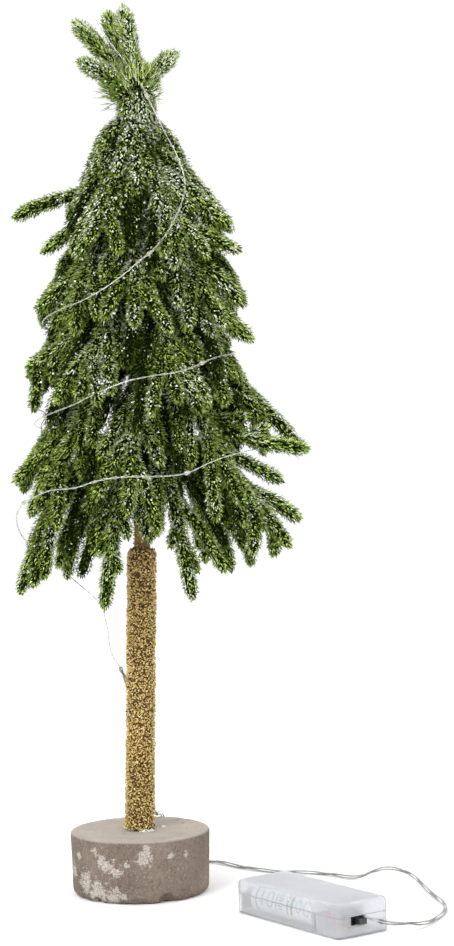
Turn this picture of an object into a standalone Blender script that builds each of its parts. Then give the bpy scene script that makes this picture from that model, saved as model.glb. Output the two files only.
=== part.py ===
"""Artificial tabletop tree with a battery light string, in metres, +Z up.

The origin is the centre of the concrete base's underside. The tree's front faces -Y.
A dowel stands in the base, a steel stem stands in the dowel, and chenille branches hang
from the stem in tiers. A fairy-light wire is wound down over the branches, and a clear
lead joins it to a snap-lid box for two AA cells, which lies on the table.
"""

import math

import bmesh
import bpy
from mathutils import Matrix, Vector

COLLECTION_NAME = "tabletop_tree"
GAP = 0.0003

# Concrete base
BASE_RADIUS = 0.0368
BASE_HEIGHT = 0.0327
BASE_TAPER = 0.0008
BASE_RIM_ROUND = 0.0008
BASE_FOOT_ROUND = 0.0032
CHIP_RADIUS = 0.0036
CHIP_ANGLE = -66.0

# Trunk and stem
TRUNK_LEAN = 0.0325
DOWEL_RADIUS = 0.004
SOCKET_DEPTH = 0.024
BARK_THICKNESS = 0.003
BARK_RADIUS = DOWEL_RADIUS + GAP + BARK_THICKNESS
BARK_LENGTH = 0.149
BARE_DOWEL_LENGTH = 0.017
STEM_RADIUS = 0.0016
STEM_LENGTH = 0.236
STEM_SEAT = 0.012
STEM_BOW = 0.1126
STEM_STATIONS = 13

# Branches
BRANCH_RADIUS = 0.0042
BRANCH_ROOT_RADIUS = 0.0009
BRANCH_ROOT_RUN = 0.3
BRANCH_TIP_ROUND = 0.45
BRANCH_TIP_START = 0.85
BRANCH_STATIONS = 11
SHOULDER_SHARE = 0.55
SHOULDER_DROP_SHARE = 0.02
NECK_BELOW_STEM_TOP = 0.0085
NECK_HEIGHT = 0.006
NECK_WALL = 0.0016
NECK_TURNS = 3
NECK_RIDGE_SHARE = 0.25

# Light string, lead and their joint
STRING_DIAMETER = 0.001
BEAD_DIAMETER = 0.0024
BEAD_HALF_LENGTH = 0.0017
BEAD_SPACING = 0.1
STRING_STEP = 0.021
LEAD_DIAMETER = 0.002
LEAD_STEP = 0.006
SLEEVE_DIAMETER = 0.0026
SLEEVE_END_SHARE = 0.8

# Battery box
BOX_PLACE = (0.0988, -0.1232, 0.0)
BOX_TURN = 36.28
BOX_WALL = 0.0011
BOX_FLOOR = 0.0012
BOX_CORNER_ROUND = 0.003
BOX_FOOT_ROUND = 0.0012
BOX_LID_ROUND = 0.0026
SWITCH_BAY_LENGTH = 0.0177
LID_LIFT_CLEARANCE = 0.0003
CELL_RADIUS = 0.0071
CELL_LENGTH = 0.0505
CELL_NUB_RADIUS = 0.0026
CELL_NUB_LENGTH = 0.0012
BETWEEN_CELLS = 0.0008
ABOVE_CELLS = 0.0006
SPRING_WIRE = 0.0007
SPRING_TURNS = 4
SPRING_LENGTH = 0.0085
SPRING_FOOT_SHARE = 0.62
SPRING_HEAD_SHARE = 0.35
CONTACT_REACH_SHARE = 0.8
CELL_EDGE_ROUND = 0.0005
PLATE_THICKNESS = 0.0004
BAY_LENGTH = CELL_LENGTH + SPRING_LENGTH + 2 * PLATE_THICKNESS + 4 * GAP
BOX_WIDTH = 2 * BOX_WALL + 2 * GAP + 4 * CELL_RADIUS + BETWEEN_CELLS
BOX_LENGTH = 3 * BOX_WALL + SWITCH_BAY_LENGTH + BAY_LENGTH
BOX_HEIGHT = BOX_FLOOR + GAP + 2 * CELL_RADIUS + ABOVE_CELLS + BOX_WALL
BOX_SEAM = 0.0101
SWITCH_SLOT_START = 0.008
SWITCH_SLOT_HEIGHT = 0.0042
SWITCH_TRAVEL = 0.0036
SWITCH_LEVER_WIDTH = 0.0046
SWITCH_LEVER_REACH = 0.0018
SWITCH_SLOT_LENGTH = SWITCH_LEVER_WIDTH + SWITCH_TRAVEL + 2 * GAP
LEAD_HOLE_FROM_SIDE = 0.0052
LEAD_HOLE_ACROSS = BOX_WIDTH - LEAD_HOLE_FROM_SIDE
LEAD_HOLE_HEIGHT = 0.0053
LEAD_TAIL = 0.006
LEAD_STRAIGHT = 0.0015
SWITCH_BODY_DEPTH = 0.0046
SWITCH_BODY_MARGIN = 0.0012
SWITCH_PLATE_DEPTH = 0.001
HOOKUP_DIAMETER = 0.0012
HOOKUP_BELOW_SEAM = 0.001
WIRE_NOTCH_HALF_WIDTH = 0.001
WIRE_NOTCH_DEPTH = 0.002
RESISTOR_BODY_RADIUS = 0.0012
RESISTOR_BODY_HALF_LENGTH = 0.003
RESISTOR_LEAD_RADIUS = 0.0003
RESISTOR_BEHIND_SWITCH = 0.0035

# Each tier: how far its roots are below the neck, and for each branch its direction in
# degrees (0 is +X, 90 is the back), reach, drop and how far out it runs before it falls.
TIERS = (
    ("top", 0.0057, (
        (20, 0.028, 0.040, 0.60),
        (140, 0.026, 0.042, 0.60),
        (216, 0.028, 0.038, 0.60),
        (272, 0.025, 0.041, 0.60),
    )),
    ("upper", 0.0222, (
        (352, 0.046, 0.044, 0.66),
        (239, 0.044, 0.050, 0.62),
        (304, 0.040, 0.054, 0.60),
        (92, 0.048, 0.051, 0.62),
    )),
    ("side", 0.0425, (
        (192, 0.062, 0.015, 0.80),
    )),
    ("shoulder", 0.0492, (
        (172, 0.050, 0.056, 0.62),
        (10, 0.052, 0.055, 0.66),
        (220, 0.047, 0.062, 0.58),
        (268, 0.048, 0.066, 0.56),
        (326, 0.050, 0.068, 0.58),
        (88, 0.050, 0.062, 0.58),
    )),
    ("middle", 0.0842, (
        (192, 0.057, 0.056, 0.62),
        (346, 0.050, 0.060, 0.60),
        (236, 0.054, 0.068, 0.56),
        (290, 0.054, 0.070, 0.56),
        (50, 0.054, 0.066, 0.58),
        (128, 0.055, 0.066, 0.58),
    )),
    ("lower", 0.1232, (
        (176, 0.064, 0.072, 0.58),
        (4, 0.080, 0.058, 0.70),
        (216, 0.064, 0.084, 0.54),
        (264, 0.062, 0.086, 0.54),
        (318, 0.066, 0.084, 0.56),
        (88, 0.062, 0.082, 0.56),
    )),
    ("bottom", 0.1682, (
        (194, 0.064, 0.084, 0.80),
        (338, 0.078, 0.062, 0.70),
        (246, 0.046, 0.090, 0.70),
        (296, 0.054, 0.086, 0.72),
        (46, 0.062, 0.080, 0.80),
        (134, 0.062, 0.082, 0.80),
    )),
)

# Each sprig of the crown: where its root stands round the stem and the direction of its
# tip, both in degrees, and how far out and how far up from the neck its tip is.
CROWN = (
    ("crown_sprig_left", 180, 174, 0.0300, 0.0380),
    ("crown_sprig_tall", 120, 140, 0.0175, 0.0430),
    ("crown_sprig_middle", 300, 245, 0.0105, 0.0430),
    ("crown_sprig_low", 240, 214, 0.0315, 0.0150),
    ("crown_sprig_right", 10, 4, 0.0215, 0.0210),
)
SPRIG_RADIUS = 0.0036
SPRIG_ROOT_RUN = 0.6
SPRIG_ROOT_BELOW_NECK = 0.001
SPRIG_BEND_RISE = 0.25
SPRIG_BEND_OUT = 0.1
SPRIG_ELBOW_AT = 0.55
SPRIG_ELBOW_RISE = 0.12

# The light string's route from its bare end in the crown to the splice sleeve.
STRING_ROUTE = (
    (-0.0120, -0.0020, 0.4590),
    (-0.0050, -0.0060, 0.4470),
    (0.0030, -0.0095, 0.4360),
    (0.0110, -0.0120, 0.4240),
    (0.0170, -0.0130, 0.4110),
    (0.0225, -0.0150, 0.3990),
    (0.0285, -0.0170, 0.3870),
    (0.0325, -0.0220, 0.3740),
    (0.0315, -0.0300, 0.3630),
    (0.0255, -0.0390, 0.3490),
    (0.0170, -0.0450, 0.3375),
    (0.0090, -0.0480, 0.3310),
    (0.0010, -0.0487, 0.3245),
    (-0.0095, -0.0470, 0.3175),
    (-0.0205, -0.0425, 0.3120),
    (-0.0310, -0.0340, 0.3085),
    (-0.0400, -0.0210, 0.3050),
    (-0.0440, -0.0060, 0.3015),
    (-0.0420, 0.0110, 0.2980),
    (-0.0340, 0.0270, 0.2945),
    (-0.0210, 0.0390, 0.2920),
    (-0.0050, 0.0460, 0.2900),
    (0.0130, 0.0480, 0.2885),
    (0.0310, 0.0430, 0.2870),
    (0.0450, 0.0310, 0.2860),
    (0.0540, 0.0140, 0.2850),
    (0.0570, -0.0050, 0.2840),
    (0.0540, -0.0230, 0.2830),
    (0.0450, -0.0390, 0.2810),
    (0.0300, -0.0512, 0.2752),
    (0.0135, -0.0568, 0.2728),
    (0.0005, -0.0576, 0.2702),
    (-0.0138, -0.0542, 0.2650),
    (-0.0255, -0.0480, 0.2596),
    (-0.0370, -0.0370, 0.2555),
    (-0.0460, -0.0210, 0.2520),
    (-0.0500, -0.0020, 0.2490),
    (-0.0480, 0.0180, 0.2460),
    (-0.0390, 0.0360, 0.2430),
    (-0.0230, 0.0510, 0.2405),
    (-0.0020, 0.0590, 0.2380),
    (0.0220, 0.0590, 0.2365),
    (0.0440, 0.0490, 0.2355),
    (0.0600, 0.0310, 0.2345),
    (0.0680, 0.0080, 0.2340),
    (0.0670, -0.0170, 0.2335),
    (0.0590, -0.0410, 0.2330),
    (0.0450, -0.0550, 0.2296),
    (0.0300, -0.0648, 0.2238),
    (0.0150, -0.0690, 0.2228),
    (-0.0010, -0.0696, 0.2230),
    (-0.0143, -0.0669, 0.2212),
    (-0.0256, -0.0624, 0.2178),
    (-0.0384, -0.0527, 0.2163),
    (-0.0480, -0.0430, 0.2125),
    (-0.0555, -0.0320, 0.2080),
    (-0.0590, -0.0220, 0.2000),
    (-0.0570, -0.0100, 0.1900),
    (-0.0480, -0.0010, 0.1800),
    (-0.0360, -0.0040, 0.1705),
    (-0.0260, -0.0130, 0.1630),
    (-0.0185, -0.0180, 0.1565),
    (-0.0157, -0.0160, 0.1512),
    (-0.0137, -0.0100, 0.1402),
    (-0.0134, -0.0060, 0.1335),
    (-0.0122, -0.0010, 0.1258),
)
SLEEVE_TOP = (-0.0082, 0.0030, 0.1184)
SLEEVE_FOOT = (-0.0046, 0.0085, 0.1080)

# The lead's route from the sleeve down behind the trunk, over the table to the box.
LEAD_ROUTE = (
    (-0.0026, 0.0112, 0.1010),
    (0.0005, 0.0130, 0.0860),
    (0.0025, 0.0140, 0.0680),
    (0.0040, 0.0165, 0.0520),
    (0.0060, 0.0220, 0.0405),
    (0.0080, 0.0290, 0.0352),
    (0.0100, 0.0360, 0.0342),
    (0.0122, 0.0402, 0.0285),
    (0.0148, 0.0420, 0.0170),
    (0.0180, 0.0455, 0.0070),
    (0.0235, 0.0540, 0.0016),
    (0.0300, 0.0615, 0.0011),
    (0.0366, 0.0640, 0.0011),
    (0.0444, 0.0585, 0.0011),
    (0.0530, 0.0480, 0.0011),
    (0.0663, 0.0370, 0.0011),
    (0.0755, 0.0325, 0.0011),
    (0.0853, 0.0303, 0.0011),
    (0.0944, 0.0272, 0.0011),
    (0.1033, 0.0210, 0.0011),
    (0.1089, 0.0155, 0.0013),
    (0.1137, 0.0120, 0.0016),
    (0.1180, 0.0120, 0.0022),
    (0.1226, 0.0150, 0.0031),
    (0.1297, 0.0190, 0.0043),
    (0.1340, 0.0190, 0.0044),
    (0.1382, 0.0165, 0.0041),
    (0.1425, 0.0105, 0.0034),
    (0.1458, 0.0020, 0.0026),
    (0.1494, -0.0170, 0.0016),
    (0.1527, -0.0360, 0.0011),
    (0.1552, -0.0475, 0.0011),
    (0.1560, -0.0590, 0.0011),
    (0.1550, -0.0690, 0.0011),
    (0.1520, -0.0790, 0.0011),
    (0.1460, -0.0930, 0.0015),
    (0.1395, -0.1030, 0.0028),
    (0.1325, -0.1085, 0.0043),
    (0.1260, -0.1108, 0.0051),
)

objects = bpy.data.objects
while objects:
    objects.remove(objects[0], do_unlink=True)
tree_parts = bpy.data.collections.new(COLLECTION_NAME)
cutters = bpy.data.collections.new("cutters")
bpy.context.scene.collection.children.link(tree_parts)
bpy.context.scene.collection.children.link(cutters)


def material(name, colour, roughness, metallic=0.0, alpha=1.0):
    """A plain finish: a Principled shader with one colour."""
    made = bpy.data.materials.new(name)
    made.use_nodes = True
    shader = made.node_tree.nodes["Principled BSDF"]
    shader.inputs["Base Color"].default_value = (*colour, 1.0)
    shader.inputs["Roughness"].default_value = roughness
    shader.inputs["Metallic"].default_value = metallic
    shader.inputs["Alpha"].default_value = alpha
    return made


CONCRETE = material("concrete", (0.42, 0.37, 0.32), 0.95)
WOOD = material("dowel_wood", (0.30, 0.17, 0.07), 0.75)
BARK = material("cork_bark", (0.50, 0.33, 0.14), 0.9)
STEEL = material("steel", (0.55, 0.55, 0.56), 0.3, 1.0)
GREEN = material("chenille_green", (0.12, 0.27, 0.04), 0.7)
FROSTED_GREEN = material("chenille_frosted", (0.35, 0.42, 0.28), 0.7)
FAIRY_WIRE = material("fairy_wire", (0.75, 0.75, 0.76), 0.25, 1.0)
CLEAR_PVC = material("clear_pvc", (0.80, 0.80, 0.78), 0.2, 0.0, 0.5)
FROSTED_PLASTIC = material("frosted_plastic", (0.78, 0.80, 0.86), 0.4, 0.0, 0.6)
CELL_JACKET = material("cell_jacket", (0.90, 0.92, 0.90), 0.35)
BLACK_PLASTIC = material("black_plastic", (0.015, 0.015, 0.015), 0.35)
NICKEL = material("nickel_plate", (0.70, 0.68, 0.64), 0.25, 1.0)
RED_INSULATION = material("red_insulation", (0.55, 0.03, 0.03), 0.4)
RESISTOR_BODY = material("resistor_body", (0.62, 0.48, 0.30), 0.5)


def keep(obj, name, finish):
    """Names the object, gives it its finish and files it with the tree's parts."""
    obj.name = name
    obj.data.name = name
    obj.data.materials.clear()
    obj.data.materials.append(finish)
    for holder in list(obj.users_collection):
        holder.objects.unlink(obj)
    tree_parts.objects.link(obj)
    return obj


def keep_cutter(obj, name):
    """Files the object as a cutter, which isn't part of the tree."""
    obj.name = name
    obj.hide_render = True
    obj.display_type = "WIRE"
    for holder in list(obj.users_collection):
        holder.objects.unlink(obj)
    cutters.objects.link(obj)
    return obj


def smooth(obj, angle=35.0):
    obj.data.shade_smooth()
    obj.data.set_sharp_from_angle(angle=math.radians(angle))


def mesh_object(name, build):
    """An object whose mesh the build function fills in through bmesh."""
    shape = bmesh.new()
    build(shape)
    mesh = bpy.data.meshes.new(name)
    shape.to_mesh(mesh)
    shape.free()
    return bpy.data.objects.new(name, mesh)


def block(name, low, high):
    """A box between two corners, with its place in its mesh."""
    size = Vector(high) - Vector(low)
    middle = (Vector(high) + Vector(low)) / 2

    def build(shape):
        bmesh.ops.create_cube(shape, size=1.0)
        bmesh.ops.scale(shape, vec=size, verts=shape.verts)
        bmesh.ops.translate(shape, vec=middle, verts=shape.verts)

    return mesh_object(name, build)


def cylinder(name, radius, low, high, sides=32):
    """A round bar from one point to another, with its place in its mesh."""
    axis = Vector(high) - Vector(low)
    turn = axis.to_track_quat("Z", "Y").to_matrix().to_4x4()
    place = Matrix.Translation((Vector(low) + Vector(high)) / 2) @ turn

    def build(shape):
        bmesh.ops.create_cone(
            shape, cap_ends=True, segments=sides, radius1=radius, radius2=radius,
            depth=axis.length, matrix=place)

    return mesh_object(name, build)


def turned(name, profile, steps):
    """A profile of (radius, height) pairs turned about Z. It runs down its outer side."""
    mesh = bpy.data.meshes.new(name)
    edges = [(index, index + 1) for index in range(len(profile) - 1)]
    mesh.from_pydata([(radius, 0.0, height) for radius, height in profile], edges, [])
    obj = bpy.data.objects.new(name, mesh)
    screw = obj.modifiers.new("turn", "SCREW")
    screw.steps = steps
    screw.render_steps = steps
    screw.use_merge_vertices = True
    screw.merge_threshold = 0.00001
    return obj


def arc(centre, radius, start, end, points):
    """Points of a (radius, height) profile along an arc, angles in degrees."""
    made = []
    for index in range(points):
        angle = math.radians(start + (end - start) * index / (points - 1))
        made.append((centre[0] + radius * math.cos(angle), centre[1] + radius * math.sin(angle)))
    return made


def tube(name, points, radii, resolution=2):
    """A tube through the points, with its own radius at each of them and closed ends."""
    curve = bpy.data.curves.new(name, "CURVE")
    curve.dimensions = "3D"
    curve.bevel_depth = max(radii)
    curve.bevel_resolution = resolution
    curve.use_fill_caps = True
    spline = curve.splines.new("POLY")
    spline.points.add(len(points) - 1)
    for station, point, radius in zip(spline.points, points, radii):
        station.co = (*point, 1.0)
        station.radius = radius / curve.bevel_depth
    return bpy.data.objects.new(name, curve)


def cut(obj, cutter):
    """Cuts the cutter's shape out of the object."""
    step = obj.modifiers.new(cutter.name, "BOOLEAN")
    step.operation = "DIFFERENCE"
    step.object = cutter


def smooth_route(points, samples=12):
    """Closely spaced points on a smooth curve through the given ones."""
    path = [Vector(point) for point in points]
    path = [path[0] * 2 - path[1]] + path + [path[-1] * 2 - path[-2]]
    fine = []
    for before, start, end, after in zip(path, path[1:], path[2:], path[3:]):
        for index in range(samples):
            t = index / samples
            fine.append(0.5 * (
                2 * start + (end - before) * t
                + (2 * before - 5 * start + 4 * end - after) * t ** 2
                + (3 * start - before - 3 * end + after) * t ** 3))
    fine.append(path[-2])
    return fine


def at_distances(fine, distances):
    """The points at the given distances along a finely sampled curve."""
    found = []
    travelled = 0.0
    wanted = list(distances)
    for start, end in zip(fine, fine[1:]):
        step = (end - start).length
        while wanted and wanted[0] <= travelled + step:
            found.append(start.lerp(end, (wanted.pop(0) - travelled) / step))
        travelled += step
    found.extend(fine[-1] for _ in wanted)
    return found


def route_length(fine):
    return sum((end - start).length for start, end in zip(fine, fine[1:]))


def evenly(length, step):
    """Distances from 0 to the length, about one step apart."""
    count = max(2, round(length / step))
    return [length * index / count for index in range(count + 1)]


DOWEL_TOP = BASE_HEIGHT + BARK_LENGTH + BARE_DOWEL_LENGTH
STEM_TOP = DOWEL_TOP + STEM_LENGTH - STEM_SEAT
NECK_FOOT = STEM_TOP - NECK_BELOW_STEM_TOP


def axis_point(height):
    """The trunk's and the stem's centre line: straight up to the dowel's top, then bowed."""
    along = height - BASE_HEIGHT
    above = max(0.0, height - DOWEL_TOP)
    return Vector((TRUNK_LEAN * along - STEM_BOW * above ** 2, 0.0, height))


def heading(angle):
    """The level direction at an angle in degrees from +X."""
    return Vector((math.cos(math.radians(angle)), math.sin(math.radians(angle)), 0.0))


UP = Vector((0.0, 0.0, 1.0))


def make_base():
    rim_centre = (BASE_RADIUS - BASE_RIM_ROUND, BASE_HEIGHT - BASE_RIM_ROUND)
    rim = arc(rim_centre, BASE_RIM_ROUND, 90, 0, 4)
    foot_radius = BASE_RADIUS - BASE_TAPER - BASE_FOOT_ROUND
    foot = arc((foot_radius, BASE_FOOT_ROUND), BASE_FOOT_ROUND, 0, -90, 6)
    profile = [(0.0, BASE_HEIGHT)] + rim + foot + [(0.0, 0.0)]
    base = turned("concrete_base", profile, 56)
    keep(base, "concrete_base", CONCRETE)
    socket = cylinder(
        "socket", DOWEL_RADIUS + GAP,
        axis_point(BASE_HEIGHT - SOCKET_DEPTH), axis_point(BASE_HEIGHT + SOCKET_DEPTH))
    cut(base, keep_cutter(socket, "socket"))
    turn = Matrix.Rotation(math.radians(CHIP_ANGLE), 4, "Z")
    centre = turn @ Vector((BASE_RADIUS - BASE_TAPER, 0.0, 0.0))

    def build(shape):
        bmesh.ops.create_uvsphere(
            shape, u_segments=10, v_segments=6, radius=CHIP_RADIUS,
            matrix=Matrix.Translation(centre))

    cut(base, keep_cutter(mesh_object("edge_chip", build), "edge_chip"))


def make_trunk():
    dowel = cylinder(
        "dowel", DOWEL_RADIUS, axis_point(BASE_HEIGHT - SOCKET_DEPTH + GAP), axis_point(DOWEL_TOP))
    keep(dowel, "trunk_dowel", WOOD)
    seat_foot = axis_point(DOWEL_TOP - STEM_SEAT)
    seat = cylinder(
        "stem_seat", STEM_RADIUS + GAP, seat_foot, axis_point(DOWEL_TOP) * 1.5 - seat_foot * 0.5, 24)
    cut(dowel, keep_cutter(seat, "stem_seat"))
    foot = axis_point(BASE_HEIGHT + GAP + BARK_RADIUS * TRUNK_LEAN)
    bark = cylinder("bark", BARK_RADIUS, foot, axis_point(BASE_HEIGHT + BARK_LENGTH), 28)
    keep(bark, "trunk_bark", BARK)
    bore = cylinder(
        "bark_bore", DOWEL_RADIUS + GAP, axis_point(BASE_HEIGHT * 0.5), axis_point(DOWEL_TOP), 28)
    cut(bark, keep_cutter(bore, "bark_bore"))
    first = DOWEL_TOP - STEM_SEAT + GAP
    step = (STEM_TOP - first) / (STEM_STATIONS - 1)
    points = [axis_point(first + step * index) for index in range(STEM_STATIONS)]
    stem = tube("stem_rod", points, [STEM_RADIUS] * STEM_STATIONS)
    keep(stem, "stem_rod", STEEL)


def branch_radii(count, full, root_run):
    """A thin wire root, a full pile and a round tip."""
    radii = []
    for index in range(count):
        t = index / (count - 1)
        root = min(1.0, t / root_run)
        near_tip = max(0.0, (t - BRANCH_TIP_START) / (1.0 - BRANCH_TIP_START))
        tip = 1.0 - BRANCH_TIP_ROUND * near_tip ** 2
        radii.append((BRANCH_ROOT_RADIUS + (full - BRANCH_ROOT_RADIUS) * root) * tip)
    return radii


def bezier(start, leave, arrive, end, count):
    """Points on a cubic curve whose two inner handles are leave and arrive."""
    points = []
    for index in range(count):
        t = index / (count - 1)
        points.append(
            start * (1 - t) ** 3 + leave * 3 * t * (1 - t) ** 2
            + arrive * 3 * t * t * (1 - t) + end * t ** 3)
    return points


def fall(root, angle, reach, drop, run):
    """A hanging branch's centre line: out from the stem, then over and down.

    The longer its run, the further out its elbow is and the less it has dropped there.
    """
    out = heading(angle)
    down = -UP
    start = root + out * (STEM_RADIUS + BRANCH_ROOT_RADIUS + GAP)
    shoulder = start + out * reach * run * SHOULDER_SHARE + down * drop * SHOULDER_DROP_SHARE
    elbow_out = 0.45 + 0.5 * run
    elbow_down = 0.78 - 0.55 * (run - 0.5)
    elbow = start + out * reach * elbow_out + down * drop * elbow_down
    return bezier(start, shoulder, elbow, start + out * reach + down * drop, BRANCH_STATIONS)


def make_branches():
    radii = branch_radii(BRANCH_STATIONS, BRANCH_RADIUS, BRANCH_ROOT_RUN)
    for tier, below_neck, branches in TIERS:
        for number, (angle, reach, drop, run) in enumerate(branches, start=1):
            points = fall(axis_point(NECK_FOOT - below_neck), angle, reach, drop, run)
            name = f"branch_{tier}_{number}"
            keep(tube(name, points, radii, 1), name, GREEN)


def make_crown():
    inner = STEM_RADIUS + GAP + 2 * BRANCH_ROOT_RADIUS + 3 * GAP
    outer = inner + NECK_WALL
    ridge = NECK_WALL * NECK_RIDGE_SHARE
    pitch = NECK_HEIGHT / NECK_TURNS
    profile = [(inner, NECK_HEIGHT), (outer, NECK_HEIGHT)]
    for turn in range(NECK_TURNS):
        middle = NECK_HEIGHT - pitch * (turn + 0.5)
        profile.append((outer + ridge, middle))
        profile.append((outer, middle - pitch / 2))
    profile += [(inner, 0.0), (inner, NECK_HEIGHT)]
    binding = turned("neck_binding", profile, 24)
    binding.location = axis_point(NECK_FOOT)
    keep(binding, "neck_binding", STEEL)
    for name, stand, lean, reach, rise in CROWN:
        ring = heading(stand) * (STEM_RADIUS + BRANCH_ROOT_RADIUS + GAP)
        root = axis_point(NECK_FOOT - SPRIG_ROOT_BELOW_NECK) + ring
        middle = axis_point(NECK_FOOT + NECK_HEIGHT)
        leave = middle + ring
        tip = middle + heading(lean) * reach + UP * rise
        bend = leave + UP * rise * SPRIG_BEND_RISE + heading(lean) * reach * SPRIG_BEND_OUT
        elbow = leave.lerp(tip, SPRIG_ELBOW_AT) + UP * rise * SPRIG_ELBOW_RISE
        points = [root, *bezier(leave, bend, elbow, tip, BRANCH_STATIONS - 1)]
        radii = [BRANCH_ROOT_RADIUS]
        radii += branch_radii(BRANCH_STATIONS - 1, SPRIG_RADIUS, SPRIG_ROOT_RUN)
        keep(tube(name, points, radii, 1), name, FROSTED_GREEN)


def make_light_string():
    """The lacquered wire, swollen at each of its light beads."""
    end = Vector(SLEEVE_TOP)
    last = Vector(STRING_ROUTE[-1])
    fine = smooth_route([*STRING_ROUTE, end + (last - end).normalized() * GAP])
    length = route_length(fine)
    beads = [BEAD_SPACING * (number + 0.5) for number in range(int(length / BEAD_SPACING))]
    stations = [(distance, STRING_DIAMETER / 2) for distance in evenly(length, STRING_STEP)
                if all(abs(distance - bead) > 3 * BEAD_HALF_LENGTH for bead in beads)]
    for bead in beads:
        stations.append((bead - BEAD_HALF_LENGTH, STRING_DIAMETER / 2))
        stations.append((bead, BEAD_DIAMETER / 2))
        stations.append((bead + BEAD_HALF_LENGTH, STRING_DIAMETER / 2))
    stations.sort()
    points = at_distances(fine, [distance for distance, _ in stations])
    string = tube("light_string", points, [radius for _, radius in stations])
    keep(string, "light_string", FAIRY_WIRE)


def make_lead(box):
    """The splice sleeve, and the clear lead from it through the wall of the box."""
    top = Vector(SLEEVE_TOP)
    foot = Vector(SLEEVE_FOOT)
    radius = SLEEVE_DIAMETER / 2
    points = [top, top.lerp(foot, 0.1), top.lerp(foot, 0.5), top.lerp(foot, 0.9), foot]
    end_radius = radius * SLEEVE_END_SHARE
    sleeve = tube("lead_sleeve", points, [end_radius, radius, radius, radius, end_radius])
    keep(sleeve, "lead_sleeve", CLEAR_PVC)
    first = foot + (Vector(LEAD_ROUTE[0]) - foot).normalized() * GAP
    mouth = box.matrix_world @ Vector((LEAD_HOLE_ACROSS, -LEAD_STRAIGHT, LEAD_HOLE_HEIGHT))
    tail = box.matrix_world @ Vector((LEAD_HOLE_ACROSS, LEAD_TAIL, LEAD_HOLE_HEIGHT))
    fine = smooth_route([first, *LEAD_ROUTE, mouth, tail])
    points = at_distances(fine, evenly(route_length(fine), LEAD_STEP))
    keep(tube("lead_cord", points, [LEAD_DIAMETER / 2] * len(points)), "lead_cord", CLEAR_PVC)


def rounded_block(name, low, high, corner, rim=0.0, rim_at_top=True):
    """A box with its upright edges rounded, and its top or bottom edges too, by less."""
    obj = block(name, low, high)
    shape = bmesh.new()
    shape.from_mesh(obj.data)
    upright = [edge for edge in shape.edges
               if abs(edge.verts[0].co.z - edge.verts[1].co.z) > 0.5 * (high[2] - low[2])]
    bmesh.ops.bevel(
        shape, geom=upright, offset=corner, segments=3, profile=0.5, affect="EDGES")
    level = high[2] if rim_at_top else low[2]
    level_edges = [edge for edge in shape.edges
                   if all(abs(vertex.co.z - level) < 1e-6 for vertex in edge.verts)]
    if rim:
        bmesh.ops.bevel(
            shape, geom=level_edges, offset=rim, segments=3, profile=0.5, affect="EDGES")
    shape.to_mesh(obj.data)
    shape.free()
    return obj


def in_box(obj, box):
    obj.parent = box
    return obj


CELL_HEIGHT = BOX_FLOOR + GAP + CELL_RADIUS
BAY_START = BOX_WALL + SWITCH_BAY_LENGTH + BOX_WALL
BAY_END = BOX_LENGTH - BOX_WALL
NEAR_PLATE = BAY_START + GAP + PLATE_THICKNESS
FAR_PLATE = BAY_END - GAP - PLATE_THICKNESS
CELL_ACROSS = (BOX_WALL + GAP + CELL_RADIUS, BOX_WIDTH - BOX_WALL - GAP - CELL_RADIUS)


def make_box_shells(box):
    tray = rounded_block(
        "box_tray", (0.0, 0.0, 0.0), (BOX_WIDTH, BOX_LENGTH, BOX_SEAM),
        BOX_CORNER_ROUND, BOX_FOOT_ROUND, False)
    in_box(keep(tray, "box_tray", FROSTED_PLASTIC), box)
    above = BOX_SEAM + BOX_WALL
    inside = BOX_WIDTH - BOX_WALL
    inner_round = BOX_CORNER_ROUND - BOX_WALL
    bays = (
        ("cell_bay", (BOX_WALL, BAY_START, BOX_FLOOR), (inside, BAY_END, above)),
        ("switch_bay", (BOX_WALL, BOX_WALL, BOX_FLOOR),
         (inside, BOX_WALL + SWITCH_BAY_LENGTH, above)),
    )
    for name, low, high in bays:
        bay = rounded_block(name, low, high, inner_round)
        cut(tray, in_box(keep_cutter(bay, name), box))
    holes = (
        ("switch_slot", (SWITCH_SLOT_START, -BOX_WALL, BOX_SEAM - SWITCH_SLOT_HEIGHT),
         (SWITCH_SLOT_START + SWITCH_SLOT_LENGTH, BOX_WALL * 2, above)),
    )
    for name, low, high in holes:
        cut(tray, in_box(keep_cutter(block(name, low, high), name), box))
    for name, across in zip(("wire_notch_left", "wire_notch_right"), CELL_ACROSS):
        notch = block(
            name,
            (across - WIRE_NOTCH_HALF_WIDTH, BAY_START - 2 * BOX_WALL, BOX_SEAM - WIRE_NOTCH_DEPTH),
            (across + WIRE_NOTCH_HALF_WIDTH, BAY_START + BOX_WALL, above))
        cut(tray, in_box(keep_cutter(notch, name), box))
    hole = cylinder(
        "lead_hole", LEAD_DIAMETER / 2 + GAP, (LEAD_HOLE_ACROSS, -BOX_WALL, LEAD_HOLE_HEIGHT),
        (LEAD_HOLE_ACROSS, BOX_WALL * 2, LEAD_HOLE_HEIGHT), 16)
    cut(tray, in_box(keep_cutter(hole, "lead_hole"), box))

    foot = BOX_SEAM + LID_LIFT_CLEARANCE
    cover = rounded_block(
        "box_cover", (0.0, 0.0, foot), (BOX_WIDTH, BOX_LENGTH, BOX_HEIGHT),
        BOX_CORNER_ROUND, BOX_LID_ROUND)
    in_box(keep(cover, "box_cover", FROSTED_PLASTIC), box)
    hollow = rounded_block(
        "cover_hollow", (BOX_WALL, BOX_WALL, foot - BOX_WALL),
        (inside, BOX_LENGTH - BOX_WALL, BOX_HEIGHT - BOX_WALL),
        inner_round, BOX_LID_ROUND - BOX_WALL)
    cut(cover, in_box(keep_cutter(hollow, "cover_hollow"), box))


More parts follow.
